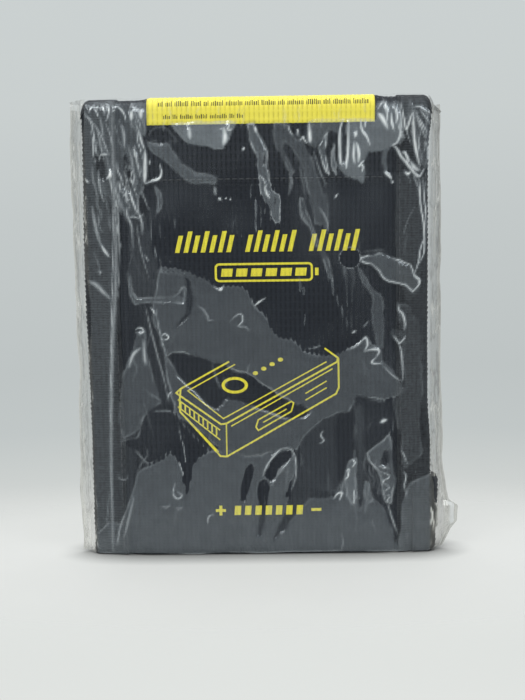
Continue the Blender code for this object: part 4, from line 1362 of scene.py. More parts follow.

# Single folds: strength of the painted highlight along it (below zero for a painted shade line), half width,
# and points along it, in millimetres
FILM_FOLDS = (
    (0.5, 0.28, ((-56.4, 181), (-56.1, 150), (-56.6, 130), (-57.2, 115), (-58.2, 95), (-59.5, 65),
        (-60.3, 35), (-60.2, 1))),
    (0.42, 0.22, ((-54.4, 180), (-54.6, 150), (-54.3, 130), (-54.7, 112), (-55.8, 101))),
    (0.36, 0.75, ((-55.5, 181), (-55.4, 150), (-55.6, 125), (-56.4, 105), (-58, 88), (-59.4, 60),
        (-60.2, 30), (-60.3, 1))),
    (0.6, 0.3, ((-67, 175), (-64, 171.5), (-63, 168), (-62, 160), (-61.5, 158.5))),
    (0.45, 0.3, ((-66.5, 175.3), (-63.5, 171.5), (-60.5, 167), (-58.5, 162.5), (-57.3, 159),
        (-57, 158.3))),
    (0.7, 0.3, ((-61.3, 156), (-60.5, 158.5), (-58.6, 158.7), (-57.2, 158.4))),
    (-0.6, 0.35, ((-61.5, 156), (-63, 150.5), (-64.5, 147))),
    (0.4, 0.3, ((-58, 171), (-56, 165), (-55, 160))),
    (1.0, 0.55, ((-56.4, 152.6), (-57, 150.6), (-58.4, 149.4))),
    (0.9, 0.6, ((-56.4, 151.8), (-56.6, 149.6))),
    (0.8, 0.35, ((-67, 150), (-66.2, 148.6), (-65.2, 148.2))),
    (0.45, 0.5, ((-51.8, 170), (-51, 166), (-51, 161))),
    (-0.7, 0.35, ((-49.5, 171), (-47, 168.4), (-45.6, 165.4))),
    (0.8, 0.45, ((-45.4, 167), (-44.2, 163), (-43.1, 160))),
    (1.0, 0.62, ((-43.2, 160.5), (-43.1, 156), (-43.4, 150), (-43.7, 147.6))),
    (1.0, 0.42, ((-43.7, 147.3), (-41, 148.2), (-38.5, 148.9), (-37.4, 150), (-37, 152), (-37.6, 154.6))),
    (0.4, 0.3, ((-43.7, 147.3), (-44.6, 144), (-43.6, 141), (-42.4, 137.5))),
    (0.8, 0.4, ((-49.2, 149.6), (-48, 147))),
    (0.8, 0.4, ((-49.8, 147), (-48.8, 142), (-47.8, 139), (-46.6, 135.6))),
    (0.7, 0.35, ((-52.2, 144.5), (-50.4, 141.6), (-49.6, 141.2))),
    (0.6, 0.4, ((-53.5, 148.5), (-52.8, 144))),
    (0.8, 0.45, ((-47.4, 160.5), (-46.8, 158.2), (-46, 156.8))),
    (0.7, 0.3, ((-41.6, 156.6), (-41.4, 154.6))),
    (0.8, 0.35, ((-64.6, 174.6), (-62.8, 177), (-61, 176.6))),
    (0.8, 0.35, ((-59.8, 177.6), (-58.6, 176), (-58.4, 173.6))),
    (0.8, 0.35, ((-58.8, 177.3), (-57, 177.2), (-56.6, 174.6), (-57.6, 171.4))),
    (0.8, 0.35, ((-55.6, 177), (-53.2, 176.6), (-51, 174.4), (-50, 171))),
    (0.7, 0.3, ((-61.6, 175.5), (-60.6, 172.6))),
    (1.0, 0.7, ((-47.9, 175), (-48, 171.5))),
    (1.0, 0.7, ((-44.3, 175.4), (-44.2, 172))),
    (0.5, 0.35, ((-50.4, 134), (-48.6, 134.8), (-46, 134.3), (-44.4, 136))),
    (-0.5, 0.4, ((-48.2, 133), (-46.6, 122), (-44, 111), (-42.8, 108.6))),
    (0.3, 0.28, ((-47.4, 133), (-45.8, 122), (-43, 111))),
    (0.3, 0.3, ((-41.8, 138), (-41.4, 128), (-40.2, 121), (-38, 117))),
    (0.5, 0.28, ((-44.2, 120), (-43, 117.6))),
    (0.45, 0.6, ((-64.6, 139), (-63.2, 130), (-61.6, 124))),
    (0.85, 0.5, ((-61.6, 124.4), (-60, 121.6), (-58.4, 119.4))),
    (0.5, 0.8, ((-67, 110), (-64, 108.6), (-61.5, 106), (-58.4, 103))),
    (0.5, 0.3, ((-63.6, 113.6), (-62, 113.6), (-62.6, 112.4))),
    (0.75, 0.35, ((-42.6, 99.6), (-41.4, 98), (-41, 96.4))),
    (0.4, 0.3, ((-44.6, 100), (-43, 92), (-40.2, 80), (-38, 71), (-36.4, 62))),
    (-0.5, 0.35, ((-43.8, 99), (-42, 91), (-39.3, 80), (-37, 71))),
    (0.4, 0.28, ((-40.4, 99), (-39.6, 92), (-37.8, 84), (-36.4, 79))),
    (0.75, 0.35, ((-48.8, 90.6), (-47.6, 91.6), (-46, 91.2), (-45.6, 90), (-47, 89.4), (-48.6, 89.8))),
    (0.55, 0.7, ((-51.8, 76), (-50, 81), (-47, 83.6))),
    (0.5, 0.6, ((-45.6, 87), (-45.4, 80), (-45, 77))),
    (0.75, 0.32, ((-38.6, 88), (-37.8, 89), (-36.4, 88.8), (-35.8, 87.6), (-37, 86.8), (-38.4, 87))),
    (0.6, 0.35, ((-36.8, 63), (-36, 65.4), (-34.8, 66.4))),
    (0.45, 0.3, ((-32.6, 51), (-31, 44), (-29.8, 36), (-29, 28))),
    (0.5, 0.3, ((-34.4, 40), (-32, 36), (-30.6, 30))),
    (0.6, 0.32, ((-34.6, 29.5), (-35.4, 25.4), (-33.6, 23.4), (-32, 24.6), (-33.8, 26.2))),
    (0.35, 0.3, ((-40.5, 20.6), (-38, 20), (-36.6, 21))),
    (0.4, 0.3, ((-34.6, 20), (-33, 19.4), (-31.6, 20.2))),
    (-0.5, 0.4, ((-50, 25), (-52.4, 16), (-54, 8))),
    (-0.5, 0.4, ((-47.4, 24.6), (-49.6, 15), (-51, 8.6))),
    (0.35, 0.4, ((-51.2, 24), (-53.6, 15), (-55.4, 8))),
    (0.35, 0.35, ((-54.6, 18), (-57, 12), (-58.6, 4))),
    (0.22, 0.3, ((-57.4, 34), (-57, 31.4), (-54, 31.2), (-53.8, 32.6))),
    (-0.4, 0.4, ((-46.6, 24.4), (-44.6, 25), (-43.8, 23))),
    (-0.45, 0.4, ((-21, 14.5), (-19.6, 16), (-18, 15.4), (-20.4, 13))),
    (0.5, 0.3, ((-22, 13), (-21.4, 16), (-19.4, 17))),
    (-0.3, 0.6, ((-14.4, 11), (-13, 8), (-12, 5.6))),
    (-0.3, 0.7, ((-4, 0.5), (-2.4, 3), (-1, 5))),
    (0.9, 0.34, ((-2, 99.6), (-0.2, 101), (2.2, 102.6))),
    (0.55, 0.3, ((-11.6, 93.6), (-9.4, 95.8), (-7.2, 96.6), (-6.6, 94), (-8.2, 91.8), (-5.8, 91.6),
        (-4, 90))),
    (0.4, 0.3, ((-24, 99.8), (-22, 98.6), (-20.4, 96), (-20, 94.4), (-17, 94.6))),
    (0.8, 0.36, ((-17.6, 107.2), (-15, 106), (-14, 107.6))),
    (0.6, 0.4, ((-16.6, 146), (-16.4, 142.6))),
    (1.0, 0.42, ((-15.2, 141.4), (-14.2, 140.8))),
    (1.0, 0.3, ((-12.8, 141.3), (-12.2, 141.2))),
    (1.0, 0.3, ((-11, 141.4), (-10.6, 140.6))),
    (1.0, 0.36, ((-5.6, 159.4), (-4.8, 160.6))),
    (1.0, 0.8, ((-12.6, 168), (-12.2, 164), (-13, 161.6))),
    (1.0, 0.35, ((-10.4, 169.6), (-11, 167.4), (-9.4, 167.4))),
    (0.7, 0.7, ((-26, 168.6), (-25.6, 164))),
    (0.9, 0.5, ((-0.9, 168.6), (-0.2, 166))),
    (0.9, 0.45, ((2.6, 146), (3.4, 143), (4.6, 141))),
    (0.6, 0.3, ((0.8, 150), (2.4, 148), (3.6, 145))),
    (0.7, 0.28, ((11.9, 169.4), (12.6, 166.6), (14, 164.6))),
    (0.9, 0.3, ((15.2, 165), (15.7, 166.8), (16, 163.6))),
    (0.9, 0.3, ((16.4, 162.4), (17.6, 164.2), (18.4, 162.6), (19.8, 161.6))),
    (-0.7, 0.35, ((16.6, 165), (19, 161.6), (22.6, 159.8))),
    (1.0, 0.75, ((20, 169.6), (20.2, 164), (20.4, 162))),
    (0.5, 0.3, ((23.6, 160), (25.4, 154), (27.4, 149.6))),
    (0.35, 0.3, ((21.6, 159), (24, 151), (26.4, 146))),
    (1.0, 0.42, ((33, 170.4), (31.7, 166), (31.6, 160), (31.9, 154.6), (32.8, 153))),
    (1.0, 0.42, ((35, 170.4), (34.8, 160), (34.2, 154), (34, 151.8))),
    (0.9, 0.6, ((37.9, 166), (37.6, 163.6))),
    (0.8, 0.5, ((37.2, 162), (36.9, 157), (37.3, 153.6))),
    (1.0, 0.5, ((38.1, 161.6), (38.9, 158), (38.8, 154))),
    (0.9, 0.42, ((39.6, 170), (40.2, 166.2), (42, 163.6), (43.2, 160.4))),
    (0.7, 0.32, ((41.6, 170), (41.1, 166.6))),
    (0.9, 0.35, ((40.9, 155), (39.8, 153.6), (40.6, 152.4), (40, 150.4))),
    (0.9, 0.4, ((38.7, 152.4), (39.6, 153.4))),
    (0.9, 0.8, ((46.4, 172.4), (48, 170.6), (50, 166.8))),
    (0.9, 0.4, ((46.2, 174), (48.6, 177.2), (49.6, 173), (50, 169))),
    (0.9, 0.45, ((51.2, 173), (51.6, 169), (52.4, 166))),
    (0.9, 0.45, ((52.6, 175), (53.6, 171.6), (53.2, 168.6))),
    (0.9, 0.42, ((55.2, 176.6), (56.2, 171), (57.2, 166.4), (59, 171.4), (59.4, 172.6))),
    (1.0, 0.55, ((59.8, 173), (60, 168), (60.6, 161), (61.6, 156), (62.6, 152.4))),
    (0.7, 0.4, ((54.9, 176), (55, 166), (53.6, 161.6), (51.4, 160.6))),
    (1.0, 0.5, ((51.6, 160.6), (53.4, 159.4), (55, 156.6), (56.8, 154.4), (59, 151.6), (61, 149.4),
        (62.4, 148.6), (64.2, 151.6))),
    (1.0, 0.5, ((55.6, 157.6), (56.4, 157.8), (57.2, 156.6), (58, 154.6), (57, 153.4))),
    (1.0, 0.5, ((56.6, 150.6), (57.8, 149.6), (59, 150.4))),
    (0.8, 0.9, ((58.6, 154.6), (60.6, 151.8), (62.4, 151))),
    (0.9, 0.35, ((62.2, 148.6), (62.6, 144), (62.9, 138), (64.2, 130), (64.4, 120), (62.4, 115))),
    (0.8, 0.3, ((63.9, 148), (64.2, 142), (65, 134), (65.2, 126))),
    (1.0, 0.5, ((48.8, 150.6), (49.6, 149.8), (51, 148.6), (51.4, 147.6))),
    (1.0, 0.42, ((51.6, 147), (52.2, 146.2))),
    (0.9, 0.3, ((29.6, 140.8), (30.8, 142.4))),
    (0.6, 0.34, ((61.6, 171.6), (63.6, 168), (65.4, 164.6))),
    (0.6, 0.34, ((60.4, 172), (62.6, 168.2), (64.6, 163))),
    (0.6, 0.34, ((62.4, 174), (64.6, 171), (66.4, 168.6))),
    (0.6, 0.34, ((60.4, 175), (62.8, 174.6), (66.2, 171.6))),
    (0.6, 0.3, ((65.6, 174), (66.6, 172.6))),
    (0.6, 0.3, ((64.6, 162), (65.6, 158), (65, 153.6))),
    (0.35, 0.35, ((16.2, 141), (16.8, 134), (19.6, 130))),
    (0.35, 0.35, ((23.6, 137.6), (26.4, 132.6), (27, 128))),
    (0.7, 0.35, ((64.8, 126), (63, 121), (62.2, 116), (60.6, 111))),
    (0.8, 0.35, ((60.4, 111), (62.4, 108.8), (62.6, 107))),
    (0.8, 0.3, ((62.8, 109.6), (62.6, 107.4), (60, 104.2))),
    (0.75, 0.45, ((54.6, 99.4), (54.2, 97.4), (55.8, 95.6), (56.8, 92), (56.6, 89.4))),
    (0.6, 0.4, ((54.4, 84), (55.4, 80), (56, 69.4))),
    (0.7, 0.5, ((39.4, 85), (41.4, 86.6), (42, 84), (40.8, 81.4))),
    (0.7, 0.5, ((41, 81.4), (44, 82), (46.6, 81.4), (45.4, 79))),
    (0.7, 0.4, ((45.4, 79), (43.6, 76.8), (47.6, 76.2))),
    (0.5, 0.3, ((34, 81.8), (38, 83.6), (41, 86.6))),
    (0.5, 0.28, ((47.6, 76), (52, 71.4), (55.6, 69))),
    (0.8, 0.4, ((36, 88.6), (37.4, 89.2))),
    (0.4, 0.28, ((40.4, 90.6), (42.4, 93))),
    (0.35, 0.28, ((18, 82.6), (21, 82.8), (24.4, 84))),
    (0.6, 0.3, ((24.4, 50), (23.4, 48), (24.6, 46), (22.6, 44.6))),
    (0.5, 0.28, ((8.4, 43.4), (11.4, 42.8), (13, 40.4), (13.6, 35.6), (13, 30), (11, 25))),
    (0.6, 0.4, ((0.4, 33), (2.4, 37), (6, 41.4), (8, 43))),
    (0.3, 0.35, ((3.6, 28), (6.6, 33), (12.6, 39.4))),
    (0.55, 0.26, ((46.6, 33.4), (49.6, 32.2), (50.2, 30.8), (48.4, 29.8), (48.0, 28.6), (49.4, 28.0))),
    (0.4, 0.24, ((49.4, 28.0), (50.4, 26.8), (49.0, 25.6), (49.0, 24.4))),
    (0.5, 0.26, ((49.2, 24.0), (50.6, 23.2), (49.8, 21.6), (50.2, 19.6))),
    (0.5, 0.3, ((41.4, 39), (44, 36), (46.6, 33.4))),
    (0.5, 0.3, ((46, 35.6), (50.4, 34.4))),
    (0.5, 0.3, ((50, 20), (51.4, 14.6), (53.6, 8))),
    (0.9, 0.4, ((28.4, 22.6), (30, 24.6), (31.6, 24.8), (30.6, 22))),
    (0.8, 0.3, ((33.2, 33), (34.4, 34.6), (34, 31.6), (33, 30.4))),
    (0.8, 0.3, ((35.6, 38.4), (36.8, 37), (35.8, 35.4))),
    (0.7, 0.3, ((36, 27), (36.6, 23), (36.2, 20))),
    (-0.6, 0.5, ((38.6, 14.6), (38, 13.4))),
    (-0.5, 0.4, ((64.6, 17), (66.4, 12), (67.6, 8))),
    (-0.35, 0.35, ((61, 25), (63, 20.6), (64.8, 17))),
    (0.6, 0.3, ((56, 33), (57.2, 31), (56.6, 27), (57.4, 22))),
    (0.5, 0.3, ((55, 42), (56.4, 39.4), (57.6, 36))),
    (0.9, 0.7, ((47, 53), (49.4, 54))),
)


def outline_distance(x, z, corners):
    """Distance inside an outline given by its corners. Outside it is below zero."""
    nearest = np.full(x.shape, 1.0)
    inside = np.zeros(x.shape, bool)
    for (x1, z1), (x2, z2) in zip(corners, np.roll(corners, -1, axis=0)):
        dx, dz = x2 - x1, z2 - z1
        share = np.clip(((x - x1) * dx + (z - z1) * dz) / (dx * dx + dz * dz), 0, 1)
        nearest = np.minimum(nearest, np.hypot(x - x1 - share * dx, z - z1 - share * dz))
        crosses = ((z1 > z) != (z2 > z)) & (x < x1 + dx * (z - z1) / (dz if dz else 1.0))
        inside ^= crosses
    return np.where(inside, nearest, -nearest)


def round_line(points, count=9):
    """A smooth curve through a few points."""
    line = np.array(points, float)
    if len(line) < 3:
        return line
    ends = np.vstack([2 * line[0] - line[1], line, 2 * line[-1] - line[-2]])
    curve = []
    for i in range(1, len(ends) - 2):
        a, b, c, d = ends[i - 1 : i + 3]
        for t in np.arange(count) / count:
            bend = (2 * a - 5 * b + 4 * c - d) * t * t + (3 * b - a - 3 * c + d) * t**3
            curve.append(b + 0.5 * ((c - a) * t + bend))
    return np.vstack([curve, ends[-2]])


def random_folds():
    """Small folds that hang from the top edge, lie across the front and run down the flat sides."""
    rng = np.random.default_rng(97)
    folds = []

    def add(x, z, length, lean, wobble, strength, width):
        steps = (0, 0.33, 0.66, 1)
        points = tuple((x + lean * length * t + rng.normal(0, wobble), z - length * t) for t in steps)
        folds.append((strength, width, points))

    for _ in range(84):
        x, z = rng.uniform(-65, -44), rng.uniform(136, 178)
        fan = 0.10 + (x + 65) * 0.006
        strength = rng.uniform(0.15, 0.62) * rng.choice((1, -1))
        add(x, z, rng.uniform(4, 17), fan, 0.35, strength, rng.uniform(0.22, 0.45))
    for _ in range(40):
        x, z = rng.uniform(53, 66), rng.uniform(148, 178)
        strength = rng.uniform(0.18, 0.6) * rng.choice((1, -1))
        add(x, z, rng.uniform(4, 12), rng.normal(0.12, 0.12), 0.3, strength, rng.uniform(0.22, 0.4))
    for _ in range(34):
        x = rng.uniform(-60, 62)
        add(x, rng.uniform(172, 181), rng.uniform(3, 8), rng.normal(0, 0.15), 0.3,
            rng.uniform(0.08, 0.3), 0.3)
    for _ in range(70):
        x, z = rng.uniform(-65, 65), rng.uniform(4, 140)
        strength = rng.uniform(0.06, 0.2) * rng.choice((1, -1))
        add(x, z, rng.uniform(3, 15), rng.normal(0, 0.35), 0.5, strength, rng.uniform(0.22, 0.45))
    for _ in range(30):
        side = rng.choice((-1, 1))
        x, z = side * rng.uniform(68.3, 72.2), rng.uniform(20, 178)
        add(x, z, rng.uniform(8, 40), 0, 0.35, rng.uniform(0.3, 0.8), rng.uniform(0.25, 0.4))
    for _ in range(24):
        side = rng.choice((-1, 1))
        x, z = side * rng.uniform(68, 72), rng.uniform(20, 178)
        add(x, z, rng.uniform(8, 30), 0, 0.35, -rng.uniform(0.2, 0.5), rng.uniform(0.25, 0.4))
    return folds


def spot_window(x, z, points, reach):
    """The part of a regular grid that lies within reach of some points."""
    a, b = np.searchsorted(x, (points[:, 0].min() - reach, points[:, 0].max() + reach))
    c, d = np.searchsorted(z, (points[:, 1].min() - reach, points[:, 1].max() + reach))
    return slice(c, d), slice(a, b)


def draw_film(x, z):
    """The veil, partly real and partly painted reflection, painted highlight lines, painted shade lines and
    height of the film at places x (columns) and z (rows).
    """
    flat_x, flat_z = np.meshgrid(x, z)
    bent_x = flat_x + 0.55 * MM * noise_field(flat_x, flat_z, 6 * MM, 61, 2)
    bent_z = flat_z + 0.55 * MM * noise_field(flat_x, flat_z, 6 * MM, 67, 2)
    broken = smooth(0.62 + 0.75 * noise_field(flat_x, flat_z, 5 * MM, 69, 2))
    # A thin veil everywhere, partly real and partly painted reflection, uneven in strength
    reflection_veil = 0.12 + 0.16 * noise_field(flat_x, flat_z, 9 * MM, 71, 3, 2.0)
    reflection_veil = np.clip(reflection_veil, 0, 0.5)
    painted_highlight = np.zeros(flat_x.shape)
    dark = np.zeros(flat_x.shape)
    height = np.zeros(flat_x.shape)
    for tone, outline, corners in FILM_AREAS:
        corners = np.array(corners, float) * MM
        window = spot_window(x, z, corners, 3 * MM)
        inside = outline_distance(bent_x[window], bent_z[window], corners)
        share = smooth(inside / (0.9 * MM) + 0.5)
        reflection_veil[window] = reflection_veil[window] * (1 - share) + tone * share
        # Painted highlight along each area's outline, and painted shade just outside it
        rim_highlight = outline * bump(inside - 0.1 * MM, 0.36 * MM) * broken[window]
        edge = 0.75 * outline * bump(inside + 0.75 * MM, 0.45 * MM) * broken[window]
        painted_highlight[window] = np.maximum(painted_highlight[window] * (1 - share * (inside > 0)), rim_highlight)
        dark[window] = np.maximum(dark[window] * (1 - share), edge)
        dome = 0.9 * MM * min(tone, 1.4) * (1 - np.exp(-np.maximum(inside, 0) / (2.2 * MM)))
        height[window] = height[window] * (1 - share) + dome * share
    for strength, width, points in FILM_FOLDS + tuple(random_folds()):
        line = round_line(points) * MM
        width = width * MM
        window = spot_window(x, z, line, 4 * width)
        rows, columns = bent_x[window].shape
        if not rows or not columns:
            continue
        closest = np.full((rows, columns), 1.0)
        along = np.zeros((rows, columns))
        for i in range(len(line) - 1):
            (x1, z1), (x2, z2) = line[i], line[i + 1]
            dx, dz = x2 - x1, z2 - z1
            near_x, near_z = flat_x[window] - x1, flat_z[window] - z1
            share = np.clip((near_x * dx + near_z * dz) / (dx * dx + dz * dz), 0, 1)
            distance = np.hypot(near_x - share * dx, near_z - share * dz)
            along = np.where(distance < closest, (i + share) / (len(line) - 1), along)
            closest = np.minimum(closest, distance)
        taper = np.clip(np.sin(math.pi * (0.06 + 0.88 * along)), 0, 1) ** 0.6
        # Each fold's line: a painted highlight, or painted shade where its strength is below zero
        painted_line = abs(strength) * taper * bump(closest, width * (0.35 + 0.65 * taper))
        target = painted_highlight if strength > 0 else dark
        target[window] = np.maximum(target[window], painted_line)
        fold = 0.55 * MM * abs(strength) * taper * bump(closest, 1.6 * width)
        height[window] = height[window] + fold * (1 if strength > 0 else -0.4)
    return reflection_veil, painted_highlight, dark, height


# A corner of film bent out at the lower right: height and reach in millimetres.
FLARE = ((0, 0.0), (4, 1.8), (8, 3.4), (11, 6.0), (17.5, 6.3), (19.8, 2.6), (25, 1.5), (38, 0.0))


def film_edge(z, side):
    """How far out the sleeve's flat side edge reaches."""
    wave = 0.7 * MM * noise_field(z, 0 * z + 0.2, 26 * MM, 83 + side, 3)
    if side < 0:
        return FILM_SIDE + 0.4 * MM + wave
    heights, reach = np.transpose(FLARE) * MM
    flare = np.interp(z, heights, reach)
    narrow = 1.3 * MM * smooth((z - 60 * MM) / (60 * MM))
    return FILM_SIDE - 0.4 * MM + wave + flare - narrow


def over_fabric(x, z):
    """How far in front of the pouch's middle the film lies where it clings."""
    tape = smooth((np.abs(x) - TAPE_IN + 2.5 * MM) / (2.5 * MM))
    label = smooth((z - LABEL_LOW + 1.5 * MM) / (1.5 * MM)) * (np.abs(x) < 46 * MM)
    band = smooth((z - BAND_LOW + 1 * MM) / (1 * MM))
    tail = smooth((x - tail_low.x + 2 * MM) / (2 * MM)) * smooth((tail_high.z + 2 * MM - z) / (2 * MM))
    rise = 0.35 * MM + 0.85 * MM * tape + 0.3 * MM * label * (1 - tape) + 0.35 * MM * band * (1 - tape)
    return half_depth(x, z) + rise + 1.0 * MM * tail


def store(mesh, name, values):
    attribute = mesh.attributes.new(name, "FLOAT", "POINT")
    attribute.data.foreach_set("value", values.astype(np.float32).ravel())


def film_columns(step):
    """Places across the sleeve, from -1 to 1, twice as close together in its flat margins."""
    solid = (SIDE - FILM_HEM) / FILM_SIDE
    margin = spaced(solid, 1.0, 0.5 * step / FILM_SIDE)[1:]
    return np.concatenate([-margin[::-1], spaced(-solid, solid, step / FILM_SIDE), margin])


def side_reach(x, z):
    return np.where(x < 0, film_edge(z, -1), film_edge(z, 1))


def beyond_side(x):
    """0 where the film lies on the pouch, 1 in its flat margins."""
    return smooth((np.abs(x) - SIDE + FILM_HEM) / FILM_HEM)


def share_of_margin(x, z):
    """How far across the flat margin: 0 at the pouch, 1 at the film's edge."""
    return np.clip((np.abs(x) - SIDE + FILM_HEM) / (side_reach(x, z) - SIDE + FILM_HEM), 0, 1)


def widen(columns, z):
    """Places across at each height: the grid is stretched only beyond the pouch's sides."""
    x = columns[None, :] * (FILM_SIDE + 0.0 * z[:, None])
    solid = SIDE - 1 * MM
    for side in (-1, 1):
        reach = film_edge(z, side)[:, None]
        past = (side * x - solid) / (FILM_SIDE - solid)
        x = np.where(side * x > solid, side * (solid + past * (reach - solid)), x)
    return x


def make_film_front():
    arc = FILM_RADIUS * math.pi / 2
    rows = spaced(FILM_LOW, FILM_FOLD_Z, FILM_STEP)
    over = spaced(0, 2 * arc + FILM_RUN, 0.9 * MM)[1:]
    s_line = np.concatenate([rows, FILM_FOLD_Z + over])
    columns = film_columns(FILM_STEP)
    x = widen(columns, np.minimum(s_line, FILM_FOLD_Z))
    s = s_line[:, None] + 0 * x
    z = np.minimum(s, FILM_FOLD_Z)
    reflection_veil, painted_highlight, dark, height = draw_film(columns * FILM_SIDE, np.minimum(s_line, sleeve_high.z + 8 * MM))
    outside = beyond_side(x)
    on_top = smooth((s - FILM_FOLD_Z + 2 * MM) / (4 * MM))
    lift = (height + 0.06 * MM * noise_field(x, s, 3 * MM, 87, 2, 2.0)) * (1 - 0.75 * outside)
    lift = lift * (1 - 0.6 * on_top)
    contact = over_fabric(np.clip(x, -SIDE + FILM_HEM, SIDE - FILM_HEM), z)
    past = share_of_margin(x, z)
    closing = smooth(past * 1.05)
    streaks = 0.9 * MM * noise_field(x, s, 2.2 * MM, 89, 2, 9.0) * outside * (1 - past**4)
    y_front = -(contact + lift) * (1 - closing) + FILM_MEET * closing - streaks

    first = np.clip((s - FILM_FOLD_Z) / FILM_RADIUS, 0, math.pi / 2)
    along = np.clip((s - FILM_FOLD_Z - arc) / FILM_RUN, 0, 1)
    second = np.clip((s - FILM_FOLD_Z - arc - FILM_RUN) / FILM_RADIUS, 0, math.pi / 2)
    start = y_front + FILM_RADIUS
    end = FILM_BACK_Y * (1 - closing) + FILM_MEET * closing - FILM_RADIUS
    y = start - FILM_RADIUS * np.cos(first) + (end - start) * along + FILM_RADIUS * np.sin(second)
    top = FILM_RADIUS * np.sin(first) - FILM_RADIUS * (1 - np.cos(second))
    z = z + top * (1 - 0.9 * smooth(past))
    ear = 4.6 * MM * smooth(past) * (x < 0) * smooth((z - 150 * MM) / (26 * MM))
    z = z + ear * (0.75 + 0.35 * noise_field(x, 0 * x, 2 * MM, 99, 2))
    corner = np.clip(np.abs(x) - 63 * MM, 0, 9 * MM)
    z = z - corner**2 / (16 * MM) * smooth((z - 168 * MM) / (6 * MM)) * np.where(x > 0, 1.0, 0.2)
    tape_top = 0.5 * MM * smooth((np.abs(x) - TAPE_IN + 3 * MM) / (3 * MM))
    z = z + (tape_top + 0.25 * MM * noise_field(x, 0 * x, 12 * MM, 91, 2)) * smooth((s - FILM_FOLD_Z) / arc)
    wavy = 0.6 * MM * (0.5 + 0.5 * noise_field(x, 0 * x, 14 * MM, 93, 2))
    z = z + wavy * (1 - smooth((z - FILM_LOW) / (5 * MM)))
    points = np.stack([x, y, z], -1)

    from_hole = np.hypot(x - VENT_X, s - VENT_Z)
    near = np.abs(from_hole - VENT_RADIUS) < 0.5 * FILM_STEP
    scale = np.where(near, VENT_RADIUS / np.maximum(from_hole, 1e-6), 1.0)
    points[..., 0] = np.where(near, VENT_X + (x - VENT_X) * scale, points[..., 0])
    points[..., 2] = np.where(near, VENT_Z + (s - VENT_Z) * scale, points[..., 2])
    faces = grid_faces(*x.shape)
    inside = (from_hole < VENT_RADIUS - 0.2 * FILM_STEP).ravel()
    faces = faces[~inside[faces].any(axis=1)]

    # Painted highlight round the vent hole's edge
    painted_highlight = np.maximum(painted_highlight, 0.4 * bump(from_hole - VENT_RADIUS, 0.4 * MM))
    crinkle = noise_field(x, s, 1.5 * MM, 95, 3, 9.0)
    crease = noise_field(x, s, 1.9 * MM, 96, 3, 7.0)
    patchy = smooth(0.45 + 0.9 * noise_field(x, s, 7 * MM, 98, 2))
    # Painted highlights on the crinkles of the flat margins, along their outer edge and along the bent-out
    # corner at the lower right
    margin = 0.75 * outside * patchy * bump(crinkle, 0.16)
    margin = np.maximum(margin, 0.6 * bump(1 - past, 0.10) * (past > 0))
    bent_out = (x > 0) * smooth((z - 9 * MM) / (2 * MM)) * smooth((20 * MM - z) / (1.5 * MM))
    margin = np.maximum(margin, 1.3 * bent_out * bump(past - 0.86, 0.16) * (past > 0))
    painted_highlight = np.maximum(painted_highlight * (1 - 0.3 * outside), margin)
    # A faint painted highlight along the film's lower edge; all painted highlights weaker over the top
    foot = smooth(0.2 + 1.2 * noise_field(x, 0 * x, 9 * MM, 97, 2))
    painted_highlight = np.maximum(painted_highlight, 0.3 * foot * bump(s - FILM_LOW, 0.4 * MM))
    painted_highlight = painted_highlight * (1 - 0.6 * on_top)
    # Painted shade in the creases of the flat margins, stronger on the right
    hollow_shade = 0.36 * bump(crease, 0.13)
    dark = np.maximum(dark, (np.where(x < 0, 0.09, 0.40) + hollow_shade) * outside)
    # A stronger veil over the flat margins, partly painted reflection, and a weaker one over the top
    reflection_veil = np.where(outside > 0.5, 0.75, reflection_veil) * (1 - 0.5 * on_top)
    used = np.unique(faces)
    renumber = np.zeros(x.size, int)
    renumber[used] = np.arange(len(used))
    mesh = mesh_from("film_front", points.reshape(-1, 3)[used], renumber[faces])
    for key, values in (("reflection_veil", reflection_veil), ("painted_highlight", painted_highlight), ("dark", dark), ("margin", outside)):
        store(mesh, key, values.ravel()[used])
    return finish_piece("film_front", mesh, FILM)


def make_film_back():
    z = spaced(FILM_LOW, FILM_FOLD_Z, FILM_BACK_STEP)
    columns = film_columns(FILM_BACK_STEP)
    x = widen(columns, z)
    rows = z[:, None] + 0 * x
    free = 0.75 * noise_field(x + 0.25 * rows, rows, 9 * MM, 101, 3, 5.0) + 0.15
    past = share_of_margin(x, rows)
    step = smooth((rows - FLAP_END + 9 * MM) / (9 * MM))
    depth = half_depth(np.clip(np.abs(x), 0, SIDE - FILM_HEM), rows) + 1.2 * MM
    depth = depth + (FILM_BACK_Y - depth) * step
    inside = smooth((FILM_FOLD_Z - rows) / (8 * MM))
    lift = (0.9 * MM * np.clip(free, 0, 1) + 0.25 * MM * noise_field(x, rows, 4 * MM, 103, 2, 2.0)) * inside
    y = (depth + lift) * (1 - smooth(past)) + FILM_MEET * smooth(past)
    mesh = mesh_from("film_back", np.stack([x, y, rows], -1), grid_faces(*x.shape, flip=True))
    outside = beyond_side(x)
    # Veil where the back film hangs free, partly painted reflection; painted highlights along its outlines, a
    # seam line, streaks and the side edges; a little painted shade in the margins
    reflection_veil = 0.35 + 0.5 * smooth((free + 0.15) / 0.45)
    rim_highlight = 0.35 * bump(free, 0.035) * smooth(0.45 + noise_field(x, rows, 6 * MM, 109, 2))
    seam = 0.45 * bump(x - 8 * MM, 0.9 * MM)
    lines = np.clip(noise_field(x, rows, 3.2 * MM, 107, 3, 6.0) - 0.72, 0, 1) * 0.8
    edge = 0.5 * bump(1 - past, 0.2) * (past > 0)
    store(mesh, "reflection_veil", np.where(outside > 0.5, 1.4, reflection_veil))
    store(mesh, "painted_highlight", np.maximum.reduce([seam, lines, edge, rim_highlight]))
    store(mesh, "dark", 0.1 * outside)
    store(mesh, "margin", outside)
    return finish_piece("film_back", mesh, FILM)


